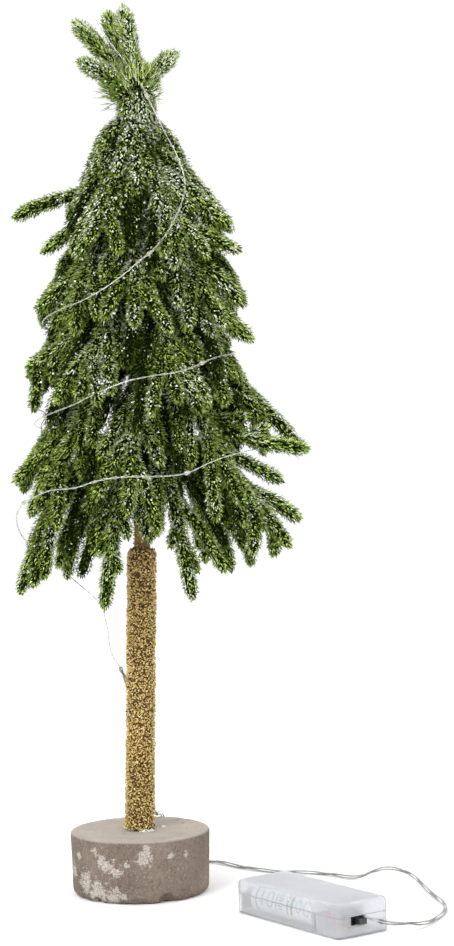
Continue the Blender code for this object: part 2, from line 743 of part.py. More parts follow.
def make_cells(box):
    body = CELL_LENGTH - CELL_NUB_LENGTH
    edge = CELL_EDGE_ROUND
    profile = [
        (0.0, CELL_LENGTH), (CELL_NUB_RADIUS - edge / 2, CELL_LENGTH),
        (CELL_NUB_RADIUS, CELL_LENGTH - edge / 2), (CELL_NUB_RADIUS, body),
        (CELL_RADIUS - edge, body), (CELL_RADIUS, body - edge),
        (CELL_RADIUS, edge), (CELL_RADIUS - edge, 0.0), (0.0, 0.0)]
    nub_near = NEAR_PLATE + GAP + CELL_LENGTH
    nub_far = FAR_PLATE - GAP - CELL_LENGTH
    for name, across, foot, turn in (
            ("cell_front", CELL_ACROSS[0], nub_near, 90), ("cell_rear", CELL_ACROSS[1], nub_far, -90)):
        cell = turned(name, profile, 32)
        cell.location = (across, foot, CELL_HEIGHT)
        cell.rotation_euler = (math.radians(turn), 0.0, 0.0)
        in_box(keep(cell, name, CELL_JACKET), box)


def make_contacts(box):
    low = BOX_FLOOR + GAP
    high = BOX_SEAM - GAP
    far = (FAR_PLATE, FAR_PLATE + PLATE_THICKNESS)
    near = (NEAR_PLATE - PLATE_THICKNESS, NEAR_PLATE)
    reach = CELL_RADIUS * CONTACT_REACH_SHARE
    plates = (
        ("link_plate", CELL_ACROSS[0] - reach, CELL_ACROSS[1] + reach, far),
        ("positive_plate", CELL_ACROSS[0] - reach, CELL_ACROSS[0] + reach, near),
        ("negative_plate", CELL_ACROSS[1] - reach, CELL_ACROSS[1] + reach, near),
    )
    for name, left, right, (start, end) in plates:
        plate = block(name, (left, start, low), (right, end, high))
        in_box(keep(plate, name, NICKEL), box)
    room = SPRING_LENGTH - SPRING_WIRE
    springs = (
        ("link_spring", CELL_ACROSS[0], FAR_PLATE, -1),
        ("negative_spring", CELL_ACROSS[1], NEAR_PLATE, 1),
    )
    for name, across, seat, way in springs:
        count = SPRING_TURNS * 10
        points = []
        for index in range(count + 1):
            t = index / count
            share = SPRING_FOOT_SHARE + (SPRING_HEAD_SHARE - SPRING_FOOT_SHARE) * t
            radius = CELL_RADIUS * share
            angle = 2 * math.pi * SPRING_TURNS * t
            along = seat + way * (GAP + SPRING_WIRE / 2 + room * t)
            points.append((
                across + radius * math.cos(angle), along, CELL_HEIGHT + radius * math.sin(angle)))
        spring = tube(name, points, [SPRING_WIRE / 2] * len(points), 1)
        in_box(keep(spring, name, NICKEL), box)


def make_switch(box):
    low = BOX_SEAM - SWITCH_SLOT_HEIGHT
    front = BOX_WALL + GAP
    slot_end = SWITCH_SLOT_START + SWITCH_SLOT_LENGTH
    lid_foot = BOX_SEAM
    margin = SWITCH_BODY_MARGIN
    body = block(
        "switch_body", (SWITCH_SLOT_START - margin, front, low - margin),
        (slot_end + margin, front + SWITCH_BODY_DEPTH, lid_foot))
    in_box(keep(body, "switch_body", BLACK_PLASTIC), box)
    plate_depth = SWITCH_PLATE_DEPTH
    pocket = block(
        "switch_pocket", (SWITCH_SLOT_START - margin / 2, front - plate_depth, low - margin / 2),
        (slot_end + margin / 2, front + plate_depth + 2 * GAP, lid_foot - margin / 2))
    cut(body, in_box(keep_cutter(pocket, "switch_pocket"), box))
    lever_end = slot_end - GAP
    lever_start = lever_end - SWITCH_LEVER_WIDTH
    lever = block(
        "switch_knob", (lever_start, -SWITCH_LEVER_REACH, low + GAP),
        (lever_end, front + GAP, lid_foot - margin))
    in_box(keep(lever, "switch_knob", BLACK_PLASTIC), box)
    plate = block(
        "switch_knob_plate", (lever_start - GAP, front, low + GAP - margin / 3),
        (lever_end + GAP, front + plate_depth, lid_foot - margin + GAP))
    join = lever.modifiers.new("plate", "BOOLEAN")
    join.operation = "UNION"
    join.object = in_box(keep_cutter(plate, "switch_knob_plate"), box)


def make_box_wiring(box):
    """A resistor beside the switch, and the hook-up wires of the two end plates."""
    radius = HOOKUP_DIAMETER / 2
    back = BOX_WALL + GAP + SWITCH_BODY_DEPTH + GAP
    wall = BOX_WALL + SWITCH_BAY_LENGTH
    body = RESISTOR_BODY_RADIUS
    lead = RESISTOR_LEAD_RADIUS
    half = RESISTOR_BODY_HALF_LENGTH
    profile = [
        (0.0, half * 2), (lead, half * 2), (lead, half), (body * 0.8, half), (body, half * 0.8),
        (body, -half * 0.8), (body * 0.8, -half), (lead, -half), (lead, -half * 2), (0.0, -half * 2)]
    resistor = turned("series_resistor", profile, 16)
    resistor.location = (
        SWITCH_SLOT_START + 2 * half, back + RESISTOR_BEHIND_SWITCH, BOX_FLOOR + GAP + body)
    resistor.rotation_euler = (0.0, math.radians(90), 0.0)
    in_box(keep(resistor, "series_resistor", RESISTOR_BODY), box)
    over = BOX_SEAM - HOOKUP_BELOW_SEAM
    at_plate = NEAR_PLATE - PLATE_THICKNESS - 4 * GAP / 3
    wires = (
        ("positive_wire", RED_INSULATION, CELL_ACROSS[0], (
            (SWITCH_SLOT_START + 0.001, back + 0.005, 0.005),
            (SWITCH_SLOT_START + 0.0015, back + radius, 0.006))),
        ("negative_wire", BLACK_PLASTIC, CELL_ACROSS[1], (
            (LEAD_HOLE_ACROSS, BOX_WALL + LEAD_TAIL + 0.004, LEAD_HOLE_HEIGHT),
            (LEAD_HOLE_ACROSS, LEAD_TAIL + GAP, LEAD_HOLE_HEIGHT))),
    )
    for name, finish, across, ending in wires:
        over_wall = (
            (across, at_plate, over), (across, wall - 0.001, over),
            (across + 0.001, wall - 0.004, over - 0.002))
        path = smooth_route([*over_wall, *ending], 3)
        in_box(keep(tube(name, path, [radius] * len(path), 1), name, finish), box)


def smooth_round_pieces():
    """Rounded pieces are shaded smooth up to their real edges."""
    for obj in tree_parts.objects:
        if obj.type == "MESH":
            smooth(obj)


make_base()
make_trunk()
make_branches()
make_crown()
battery_box = bpy.data.objects.new("battery_box", None)
tree_parts.objects.link(battery_box)
battery_box.location = BOX_PLACE
battery_box.rotation_euler = (0.0, 0.0, math.radians(BOX_TURN))
bpy.context.view_layer.update()
make_box_shells(battery_box)
make_cells(battery_box)
make_contacts(battery_box)
make_switch(battery_box)
make_box_wiring(battery_box)
make_light_string()
make_lead(battery_box)
smooth_round_pieces()
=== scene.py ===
"""The tabletop tree's looks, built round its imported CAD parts. Metres, +Z up, front towards -Y."""

import math

import bpy
import numpy as np
from mathutils import Matrix, Vector, noise


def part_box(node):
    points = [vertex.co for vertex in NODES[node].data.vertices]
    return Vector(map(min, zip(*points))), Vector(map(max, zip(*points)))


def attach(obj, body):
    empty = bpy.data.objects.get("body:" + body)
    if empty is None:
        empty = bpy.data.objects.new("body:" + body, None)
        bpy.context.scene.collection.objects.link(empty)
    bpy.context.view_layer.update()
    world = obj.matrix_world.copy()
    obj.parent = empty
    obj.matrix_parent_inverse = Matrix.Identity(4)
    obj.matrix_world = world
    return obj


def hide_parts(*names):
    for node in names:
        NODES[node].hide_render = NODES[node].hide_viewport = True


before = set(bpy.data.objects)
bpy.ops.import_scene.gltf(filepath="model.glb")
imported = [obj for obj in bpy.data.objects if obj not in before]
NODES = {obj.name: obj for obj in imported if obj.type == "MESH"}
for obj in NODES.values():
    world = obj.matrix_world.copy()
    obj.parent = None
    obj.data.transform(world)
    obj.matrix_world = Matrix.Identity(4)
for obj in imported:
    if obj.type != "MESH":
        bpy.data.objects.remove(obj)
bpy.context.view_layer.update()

# Camera
CAMERA_PLACE = (0.0507465, -1.260, 0.276533)
CAMERA_PITCH = 0.044323
CAMERA_ROLL = -0.024
CAMERA_LENS = 91.01
CAMERA_SENSOR = 36.0

# The light string's route from its bare end in the crown to the splice sleeve
STRING_ROUTE = (
    (-0.0120, -0.0020, 0.4590),
    (-0.0050, -0.0060, 0.4470),
    (0.0030, -0.0095, 0.4360),
    (0.0110, -0.0120, 0.4240),
    (0.0170, -0.0130, 0.4110),
    (0.0225, -0.0150, 0.3990),
    (0.0285, -0.0170, 0.3870),
    (0.0325, -0.0220, 0.3740),
    (0.0315, -0.0300, 0.3630),
    (0.0255, -0.0390, 0.3490),
    (0.0170, -0.0450, 0.3375),
    (0.0090, -0.0480, 0.3310),
    (0.0010, -0.0487, 0.3245),
    (-0.0095, -0.0470, 0.3175),
    (-0.0205, -0.0425, 0.3120),
    (-0.0310, -0.0340, 0.3085),
    (-0.0400, -0.0210, 0.3050),
    (-0.0440, -0.0060, 0.3015),
    (-0.0420, 0.0110, 0.2980),
    (-0.0340, 0.0270, 0.2945),
    (-0.0210, 0.0390, 0.2920),
    (-0.0050, 0.0460, 0.2900),
    (0.0130, 0.0480, 0.2885),
    (0.0310, 0.0430, 0.2870),
    (0.0450, 0.0310, 0.2860),
    (0.0540, 0.0140, 0.2850),
    (0.0570, -0.0050, 0.2840),
    (0.0540, -0.0230, 0.2830),
    (0.0450, -0.0390, 0.2810),
    (0.0300, -0.0512, 0.2752),
    (0.0135, -0.0568, 0.2728),
    (0.0005, -0.0576, 0.2702),
    (-0.0138, -0.0542, 0.2650),
    (-0.0255, -0.0480, 0.2596),
    (-0.0370, -0.0370, 0.2555),
    (-0.0460, -0.0210, 0.2520),
    (-0.0500, -0.0020, 0.2490),
    (-0.0480, 0.0180, 0.2460),
    (-0.0390, 0.0360, 0.2430),
    (-0.0230, 0.0510, 0.2405),
    (-0.0020, 0.0590, 0.2380),
    (0.0220, 0.0590, 0.2365),
    (0.0440, 0.0490, 0.2355),
    (0.0600, 0.0310, 0.2345),
    (0.0680, 0.0080, 0.2340),
    (0.0670, -0.0170, 0.2335),
    (0.0590, -0.0410, 0.2330),
    (0.0450, -0.0550, 0.2296),
    (0.0300, -0.0648, 0.2238),
    (0.0150, -0.0690, 0.2228),
    (-0.0010, -0.0696, 0.2230),
    (-0.0143, -0.0669, 0.2212),
    (-0.0256, -0.0624, 0.2178),
    (-0.0384, -0.0527, 0.2163),
    (-0.0480, -0.0430, 0.2125),
    (-0.0555, -0.0320, 0.2080),
    (-0.0590, -0.0220, 0.2000),
    (-0.0570, -0.0100, 0.1900),
    (-0.0480, -0.0010, 0.1800),
    (-0.0360, -0.0040, 0.1705),
    (-0.0260, -0.0130, 0.1630),
    (-0.0185, -0.0180, 0.1565),
    (-0.0157, -0.0160, 0.1512),
    (-0.0137, -0.0100, 0.1402),
    (-0.0134, -0.0060, 0.1335),
    (-0.0122, -0.0010, 0.1258),
)
SLEEVE_TOP = (-0.0082, 0.0030, 0.1184)
SLEEVE_FOOT = (-0.0046, 0.0085, 0.1080)

# The lead's route from the sleeve down behind the trunk, over the table to the box
LEAD_ROUTE = (
    (-0.0026, 0.0112, 0.1010),
    (0.0005, 0.0130, 0.0860),
    (0.0025, 0.0140, 0.0680),
    (0.0040, 0.0165, 0.0520),
    (0.0060, 0.0220, 0.0405),
    (0.0080, 0.0290, 0.0352),
    (0.0100, 0.0360, 0.0342),
    (0.0122, 0.0402, 0.0285),
    (0.0148, 0.0420, 0.0170),
    (0.0180, 0.0455, 0.0070),
    (0.0235, 0.0540, 0.0016),
    (0.0300, 0.0615, 0.0011),
    (0.0366, 0.0640, 0.0011),
    (0.0444, 0.0585, 0.0011),
    (0.0530, 0.0480, 0.0011),
    (0.0663, 0.0370, 0.0011),
    (0.0755, 0.0325, 0.0011),
    (0.0853, 0.0303, 0.0011),
    (0.0944, 0.0272, 0.0011),
    (0.1033, 0.0210, 0.0011),
    (0.1089, 0.0155, 0.0013),
    (0.1137, 0.0120, 0.0016),
    (0.1180, 0.0120, 0.0022),
    (0.1226, 0.0150, 0.0031),
    (0.1297, 0.0190, 0.0043),
    (0.1340, 0.0190, 0.0044),
    (0.1382, 0.0165, 0.0041),
    (0.1425, 0.0105, 0.0034),
    (0.1458, 0.0020, 0.0026),
    (0.1494, -0.0170, 0.0016),
    (0.1527, -0.0360, 0.0011),
    (0.1552, -0.0475, 0.0011),
    (0.1560, -0.0590, 0.0011),
    (0.1550, -0.0690, 0.0011),
    (0.1520, -0.0790, 0.0011),
    (0.1460, -0.0930, 0.0015),
    (0.1395, -0.1030, 0.0028),
    (0.1325, -0.1085, 0.0043),
    (0.1260, -0.1108, 0.0051),
)
BEAD_SPACING = 0.1
LEAD_DIAMETER = 0.002
# The string's two wires: how thick, how far from their middle, how much that varies, and
# the length in which they cross
WIRE_RADIUS = 0.00016
WIRE_GAP = 0.00027
WIRE_GAP_CHANGE = 0.00010
WIRE_LAY = 0.011
DROP_RADIUS = 0.00112
DROP_REACH = 0.0019
LIGHT_RADIUS = 0.00034
# Conductors: how far from their middle, how thick, and the length of one twist
LEAD_CONDUCTORS = (0.00042, 0.00024, 0.05)
SPLICE_CONDUCTORS = (0.00040, 0.00030, 0.02)
SLEEVE_RADIUS = 0.0013
SLEEVE_END_RADIUS = 0.00104

# Battery box, from its own corner
BOX_PLACE = (0.0988, -0.1232, 0.0)
BOX_TURN = math.radians(36.28)
BOX_HEIGHT = 0.0174
LEAD_HOLE = (0.0268, 0.0053)
LEAD_STRAIGHT = 0.0015
LEAD_TAIL = 0.006
CELL_ACROSS = (0.0085, 0.0235)
CELL_MIDDLE_HEIGHT = 0.0086
CELL_ENDS = (0.0209, 0.0799)

# Pile
NEEDLE_WIDTH = 0.00088
NEEDLE_KEEL = 0.00042
NEEDLES_PER_METRE = 23000
INNER_NEEDLES_PER_METRE = 13000
CROWN_NEEDLES_PER_METRE = 44000
HEART_SHARE = 0.64
LEAN = (38.0, 70.0)
CORE_RADIUS = 0.0005
ROPE_RADIUS = 0.0041
UV_SLIT = 0.004
MOST_GRAINS = 46000
BARK_RADIUS = 0.0072
STICK_GRAINS = 420
STICK_RADII = (0.0040, 0.0047)
NECK_TUFTS = 11
BASE_PORES = 420
# Where frost has fallen on the block: the middle of each heap, its spread and its grains
FALLEN = (
    ((0.0052, -0.0088, 0.0327), (0.0016, 0.0007, 0.0007), 26),
    ((0.0016, -0.0094, 0.0327), (0.0010, 0.0005, 0.0003), 5),
    ((0.0128, 0.0030, 0.0327), (0.0012, 0.0012, 0.0004), 11),
)
GOLDEN_ANGLE = math.pi * (3.0 - math.sqrt(5.0))


def clear_selection():
    """Nothing is selected, so that the next operator acts on its own piece only."""
    bpy.ops.object.select_all(action="DESELECT")
    bpy.context.view_layer.objects.active = None


def smooth_route(points, samples=12):
    """Closely spaced points on a smooth curve through the given ones."""
    path = [Vector(point) for point in points]
    path = [path[0] * 2 - path[1]] + path + [path[-1] * 2 - path[-2]]
    fine = []
    for before, start, end, after in zip(path, path[1:], path[2:], path[3:]):
        for index in range(samples):
            t = index / samples
            fine.append(0.5 * (
                2 * start + (end - before) * t
                + (2 * before - 5 * start + 4 * end - after) * t ** 2
                + (3 * start - before - 3 * end + after) * t ** 3))
    fine.append(path[-2])
    return np.array(fine)


def distances_along(line):
    steps = np.linalg.norm(np.diff(line, axis=0), axis=1)
    return np.concatenate([[0.0], np.cumsum(steps)])


def at_distance(line, travelled, wanted):
    """The values of a line, or of anything else given at its points, at these distances."""
    line = np.asarray(line, float)
    if line.ndim == 1:
        return np.interp(wanted, travelled, line)
    return np.stack([np.interp(wanted, travelled, line[:, axis]) for axis in range(3)], axis=1)


def resampled(line, step):
    """The line at even distances about one step apart."""
    travelled = distances_along(line)
    count = max(3, int(round(travelled[-1] / step)) + 1)
    return at_distance(line, travelled, np.linspace(0.0, travelled[-1], count))


def unit(vectors):
    return vectors / np.maximum(np.linalg.norm(vectors, axis=-1, keepdims=True), 1e-12)


def carried_frames(line):
    """A tangent and two cross directions at each point, carried along without twist."""
    tangents = unit(np.gradient(line, axis=0))
    first = np.cross(tangents[0], (0.0, 0.0, 1.0))
    if np.linalg.norm(first) < 1e-3:
        first = np.array((1.0, 0.0, 0.0))
    sides = [unit(first)]
    for tangent in tangents[1:]:
        side = sides[-1] - tangent * np.dot(sides[-1], tangent)
        sides.append(unit(side))
    sides = np.array(sides)
    return tangents, sides, np.cross(tangents, sides)


def piece(name, points, faces, finish, uv=None, smooth=False):
    """An object at the origin from points and triangles, with its bake map where it has one."""
    mesh = bpy.data.meshes.new(name)
    points = np.asarray(points, np.float32)
    faces = np.asarray(faces, np.int32)
    mesh.vertices.add(len(points))
    mesh.vertices.foreach_set("co", points.ravel())
    mesh.loops.add(faces.size)
    mesh.loops.foreach_set("vertex_index", faces.ravel())
    mesh.polygons.add(len(faces))
    mesh.polygons.foreach_set("loop_start", np.arange(0, faces.size, 3, dtype=np.int32))
    mesh.polygons.foreach_set("use_smooth", np.full(len(faces), smooth))
    if uv is not None:
        layer = mesh.uv_layers.new(name="OFBake")
        layer.data.foreach_set("uv", np.asarray(uv, np.float32).ravel())
    mesh.update(calc_edges=True)
    mesh.materials.append(finish)
    obj = bpy.data.objects.new(name, mesh)
    bpy.context.scene.collection.objects.link(obj)
    return obj


def triangles_of(obj):
    """The points and triangles of a modelled shape, which is then removed."""
    mesh = obj.data
    mesh.calc_loop_triangles()
    points = np.array([vertex.co for vertex in mesh.vertices])
    faces = np.array([triangle.vertices for triangle in mesh.loop_triangles])
    bpy.data.objects.remove(obj)
    return points, faces


def tube_mesh(line, radii, sides):
    """Points and triangles of a round tube with closed ends along a line."""
    _, side, other = carried_frames(line)
    radii = np.broadcast_to(np.asarray(radii, float), (len(line),))
    angles = np.arange(sides) * 2 * math.pi / sides
    ring = (side[:, None] * np.cos(angles)[None, :, None]
            + other[:, None] * np.sin(angles)[None, :, None])
    points = (line[:, None] + ring * radii[:, None, None]).reshape(-1, 3)
    faces = []
    for station in range(len(line) - 1):
        low, high = station * sides, (station + 1) * sides
        for index in range(sides):
            after = (index + 1) % sides
            faces.append((low + index, low + after, high + after))
            faces.append((low + index, high + after, high + index))
    points = np.vstack([points, line[0], line[-1]])
    foot, head = len(points) - 2, len(points) - 1
    last = (len(line) - 1) * sides
    for index in range(sides):
        after = (index + 1) % sides
        faces.append((foot, after, index))
        faces.append((head, last + index, last + after))
    return points, np.array(faces)


def joined(parts):
    """Several (points, triangles) as one."""
    points, faces, start = [], [], 0
    for some_points, some_faces in parts:
        points.append(some_points)
        faces.append(some_faces + start)
        start += len(some_points)
    return np.vstack(points), np.vstack(faces)


# ---------------------------------------------------------------- finishes


class Finish:
    """A material and short ways to wire its nodes."""

    def __init__(self, name):
        self.material = bpy.data.materials.new(name)
        self.material.use_nodes = True
        self.tree = self.material.node_tree
        self.shader = self.tree.nodes["Principled BSDF"]
        self.coords = self.tree.nodes.new("ShaderNodeTexCoord").outputs["Object"]

    def set(self, **values):
        for key, value in values.items():
            socket = self.shader.inputs[key.replace("_", " ")]
            socket.default_value = (*value, 1.0) if isinstance(value, tuple) else value
        return self

    def link(self, source, target):
        if isinstance(source, (int, float)):
            target.default_value = source
        elif isinstance(source, tuple):
            target.default_value = source if len(source) == 4 else (*source, 1.0)
        else:
            self.tree.links.new(source, target)

    def to(self, name, source):
        self.link(source, self.shader.inputs[name])
        return self

    def mapped(self, scale=(1.0, 1.0, 1.0), turn=(0.0, 0.0, 0.0), place=(0.0, 0.0, 0.0)):
        node = self.tree.nodes.new("ShaderNodeMapping")
        node.inputs["Location"].default_value = place
        node.inputs["Rotation"].default_value = turn
        node.inputs["Scale"].default_value = scale
        self.tree.links.new(self.coords, node.inputs["Vector"])
        return node.outputs["Vector"]

    def noise(self, scale, detail=4.0, roughness=0.55, vector=None, distortion=0.0):
        node = self.tree.nodes.new("ShaderNodeTexNoise")
        node.inputs["Scale"].default_value = scale
        node.inputs["Detail"].default_value = detail
        node.inputs["Roughness"].default_value = roughness
        node.inputs["Distortion"].default_value = distortion
        self.tree.links.new(vector or self.coords, node.inputs["Vector"])
        return node.outputs["Fac"]

    def cells(self, scale):
        node = self.tree.nodes.new("ShaderNodeTexVoronoi")
        node.inputs["Scale"].default_value = scale
        self.tree.links.new(self.coords, node.inputs["Vector"])
        return node.outputs["Distance"]

    def ramp(self, source, *stops):
        """Stops are (place, colour or grey)."""
        node = self.tree.nodes.new("ShaderNodeValToRGB")
        marks = node.color_ramp.elements
        while len(marks) < len(stops):
            marks.new(0.5)
        for mark, (place, colour) in zip(marks, stops):
            mark.position = place
            if isinstance(colour, (int, float)):
                colour = (colour, colour, colour)
            mark.color = (*colour, 1.0)
        self.tree.links.new(source, node.inputs["Fac"])
        return node.outputs["Color"]

    def math(self, kind, first, second=0.0, clamp=False):
        node = self.tree.nodes.new("ShaderNodeMath")
        node.operation = kind
        node.use_clamp = clamp
        self.link(first, node.inputs[0])
        self.link(second, node.inputs[1])
        return node.outputs[0]

    def distance(self, place):
        """How far each point of the surface is from a place."""
        node = self.tree.nodes.new("ShaderNodeVectorMath")
        node.operation = "DISTANCE"
        self.tree.links.new(self.coords, node.inputs[0])
        node.inputs[1].default_value = place
        return node.outputs["Value"]

    def between(self, value, low, high):
        above = self.math("GREATER_THAN", value, low)
        return self.math("MULTIPLY", above, self.math("LESS_THAN", value, high))

    def mix(self, share, first, second, kind="MIX"):
        node = self.tree.nodes.new("ShaderNodeMix")
        node.data_type = "RGBA"
        node.blend_type = kind
        self.link(share, node.inputs["Factor"])
        self.link(first, node.inputs[6])
        self.link(second, node.inputs[7])
        return node.outputs[2]

    def bump(self, height, strength, depth):
        node = self.tree.nodes.new("ShaderNodeBump")
        node.inputs["Strength"].default_value = strength
        node.inputs["Distance"].default_value = depth
        self.tree.links.new(height, node.inputs["Height"])
        self.tree.links.new(node.outputs["Normal"], self.shader.inputs["Normal"])
        return self

    def own_map(self):
        """The two parts of the piece's own map."""
        node = self.tree.nodes.new("ShaderNodeUVMap")
        node.uv_map = "OFBake"
        split = self.tree.nodes.new("ShaderNodeSeparateXYZ")
        self.tree.links.new(node.outputs["UV"], split.inputs["Vector"])
        return split.outputs["X"], split.outputs["Y"]

    def split(self, vector):
        node = self.tree.nodes.new("ShaderNodeSeparateXYZ")
        self.tree.links.new(vector, node.inputs["Vector"])
        return node.outputs["X"], node.outputs["Y"], node.outputs["Z"]


def needle_finish():
    """Green film strips, darker towards the root as painted shade and a little lighter at the tip as
    painted light; the upper half of the map holds the frosted ones.
    """
    f = Finish("green_pile")
    tone, along = f.own_map()
    green = f.ramp(
        tone, (0.0, (0.004, 0.009, 0.000)), (0.12, (0.034, 0.062, 0.005)),
        (0.24, (0.104, 0.172, 0.020)), (0.36, (0.240, 0.350, 0.054)),
        (0.50, (0.550, 0.670, 0.190)), (0.54, (0.290, 0.370, 0.170)),
        (0.74, (0.620, 0.680, 0.480)), (1.0, (0.950, 0.960, 0.920)))
    # Painted shade and light: along the needle the colour is darkened towards the root, deep in the
    # pile, and lightened a little at the tip.
    dark = f.ramp(along, (0.0, 0.05), (0.30, 0.30), (0.70, 1.0), (1.0, 1.15))
    shaded = f.mix(1.0, green, dark, "MULTIPLY")
    frosted = f.math("MULTIPLY", f.math("GREATER_THAN", tone, 0.52), along)
    amount = f.math("MULTIPLY", frosted, f.math("SUBTRACT", tone, 0.35), clamp=True)
    f.to("Base Color", f.mix(amount, shaded, (0.82, 0.84, 0.80)))
    f.to("Roughness", f.ramp(along, (0.0, 0.85), (0.6, 0.45)))
    f.set(Specular_IOR_Level=0.05)
    return f.material


def frost_finish():
    f = Finish("frost")
    tone, _ = f.own_map()
    f.to("Base Color", f.ramp(tone, (0.0, (0.80, 0.82, 0.80)), (1.0, (0.97, 0.98, 0.97))))
    f.set(Roughness=0.25, Specular_IOR_Level=0.8, Coat_Weight=0.4, Coat_Roughness=0.1)
    return f.material


def chip_finish():
    """Cork chips, each with its own tone; the lowest tones are near-black."""
    f = Finish("cork_chips")
    tone, shade = f.own_map()
    colour = f.ramp(
        tone, (0.0, (0.028, 0.017, 0.007)), (0.06, (0.130, 0.070, 0.016)),
        (0.20, (0.360, 0.215, 0.050)), (0.45, (0.610, 0.410, 0.120)),
        (0.75, (0.780, 0.590, 0.230)), (1.0, (0.900, 0.760, 0.400)))
    f.to("Base Color", f.mix(1.0, colour, f.ramp(shade, (0.0, 0.72), (1.0, 1.0)), "MULTIPLY"))
    f.set(Roughness=0.78, Specular_IOR_Level=0.35)
    return f.material


def wood_finish():
    f = Finish("dowel_wood")
    grain = f.noise(260.0, 5.0, 0.6, f.mapped((1.0, 1.0, 0.07)))
    f.to("Base Color", f.ramp(
        grain, (0.30, (0.065, 0.030, 0.010)), (0.52, (0.180, 0.095, 0.035)),
        (0.72, (0.300, 0.175, 0.070))))
    f.to("Roughness", f.ramp(grain, (0.3, 0.8), (0.7, 0.55)))
    f.bump(grain, 0.6, 0.0003)
    return f.material


def steel_finish(name="steel", tint=(0.50, 0.50, 0.51)):
    f = Finish(name)
    worn = f.noise(400.0, 6.0, 0.65)
    f.to("Base Color", f.mix(f.ramp(worn, (0.45, 0.0), (0.75, 0.55)), tint, (0.24, 0.22, 0.20)))
    f.to("Roughness", f.ramp(worn, (0.35, 0.22), (0.70, 0.50)))
    f.set(Metallic=1.0)
    f.bump(worn, 0.2, 0.0001)
    return f.material


def worn_finish(name, marks, colours, roughness, relief, metallic=0.0):
    """An even material, whose fine wear marks shift its colour and roughness.

    marks is the scale and detail of the marks, and relief the strength and depth of its bumps."""
    f = Finish(name)
    worn = f.noise(*marks)
    f.to("Base Color", f.ramp(worn, (0.3, colours[0]), (0.7, colours[1])))
    f.to("Roughness", f.ramp(worn, (0.3, roughness[0]), (0.7, roughness[1])))
    f.set(Metallic=metallic)
    f.bump(worn, *relief)
    return f.material


def epoxy_finish():
    """The clear drops of resin over the light chips."""
    f = Finish("clear_resin")
    flow = f.noise(500.0, 2.0)
    f.to("Roughness", f.ramp(flow, (0.3, 0.04), (0.7, 0.16)))
    f.set(Base_Color=(0.93, 0.92, 0.86), Transmission_Weight=0.85, IOR=1.5)
    f.bump(flow, 0.25, 0.0001)
    return f.material


def light_chip_finish():
    f = Finish("light_chip")
    speck = f.noise(1500.0, 3.0)
    f.to("Base Color", f.ramp(speck, (0.35, (0.72, 0.56, 0.16)), (0.65, (0.90, 0.78, 0.32))))
    f.set(Roughness=0.45)
    f.bump(speck, 0.2, 0.00005)
    return f.material


def clear_pvc_finish(name, cloud=0.10, tint=(0.93, 0.94, 0.93)):
    """Soft clear PVC, a little cloudy and handled."""
    f = Finish(name)
    smear = f.noise(220.0, 4.0, 0.6)
    f.to("Roughness", f.ramp(smear, (0.3, cloud), (0.75, cloud + 0.16)))
    f.set(Base_Color=tint, Transmission_Weight=0.92, IOR=1.47)
    f.bump(smear, 0.15, 0.0001)
    return f.material


def conductor_finish():
    f = Finish("tinned_strands")
    strands = f.noise(1800.0, 2.0, 0.5, f.mapped((1.0, 1.0, 0.4)))
    f.to("Base Color", f.ramp(strands, (0.3, (0.13, 0.125, 0.12)), (0.7, (0.42, 0.41, 0.40))))
    f.to("Roughness", f.ramp(strands, (0.3, 0.35), (0.7, 0.55)))
    f.set(Metallic=0.9)
    f.bump(strands, 0.3, 0.00008)
    return f.material


def frosted_plastic_finish(name, roughness, tint, clearness, top=None):
    """Moulded frosted plastic: fine sparked texture, faint flow marks and rub marks.

    A piece with a rougher top has its height and how much rougher in top."""
    f = Finish(name)
    spark = f.noise(1400.0, 3.0, 0.6)
    rub = f.noise(90.0, 5.0, 0.6, distortion=0.4)
    dull = f.ramp(rub, (0.35, roughness), (0.75, roughness + 0.12))
    if top:
        height, rougher = top
        _, _, up = f.split(f.coords)
        above = f.ramp(f.math("MULTIPLY", up, 1.0 / height), (0.93, 0.0), (0.99, 1.0))
        dull = f.math("ADD", dull, f.math("MULTIPLY", above, rougher))
    f.to("Roughness", dull)
    f.set(Base_Color=tint, Transmission_Weight=clearness, IOR=1.46)
    f.bump(f.math("ADD", spark, f.math("MULTIPLY", rub, 0.3)), 0.15, 0.00004)
    return f.material


def in_box_coordinates(f):
    """Object coordinates turned to the battery box: across, along and up."""
    turn = Matrix.Rotation(-BOX_TURN, 3, "Z")
    return f.mapped(turn=(0.0, 0.0, -BOX_TURN), place=tuple(-(turn @ Vector(BOX_PLACE))))


CELL_RADIUS = 0.0071
# How far round from the top the middle of the print is, in radians
PRINT_MIDDLE = 1.25
# Line rings, striped bars and plain bands printed along the jacket, from the cell's end
PRINT_RINGS = ((0.0050, 0.0026, 0.0004), (0.0115, 0.0020, 0.0004), (0.0345, 0.0026, 0.0005))
PRINT_BARS = ((0.0243, 0.0276), (0.0400, 0.0420))
PRINT_BANDS = ((0.0160, 0.0178), (0.0196, 0.0208), (0.0290, 0.0297))


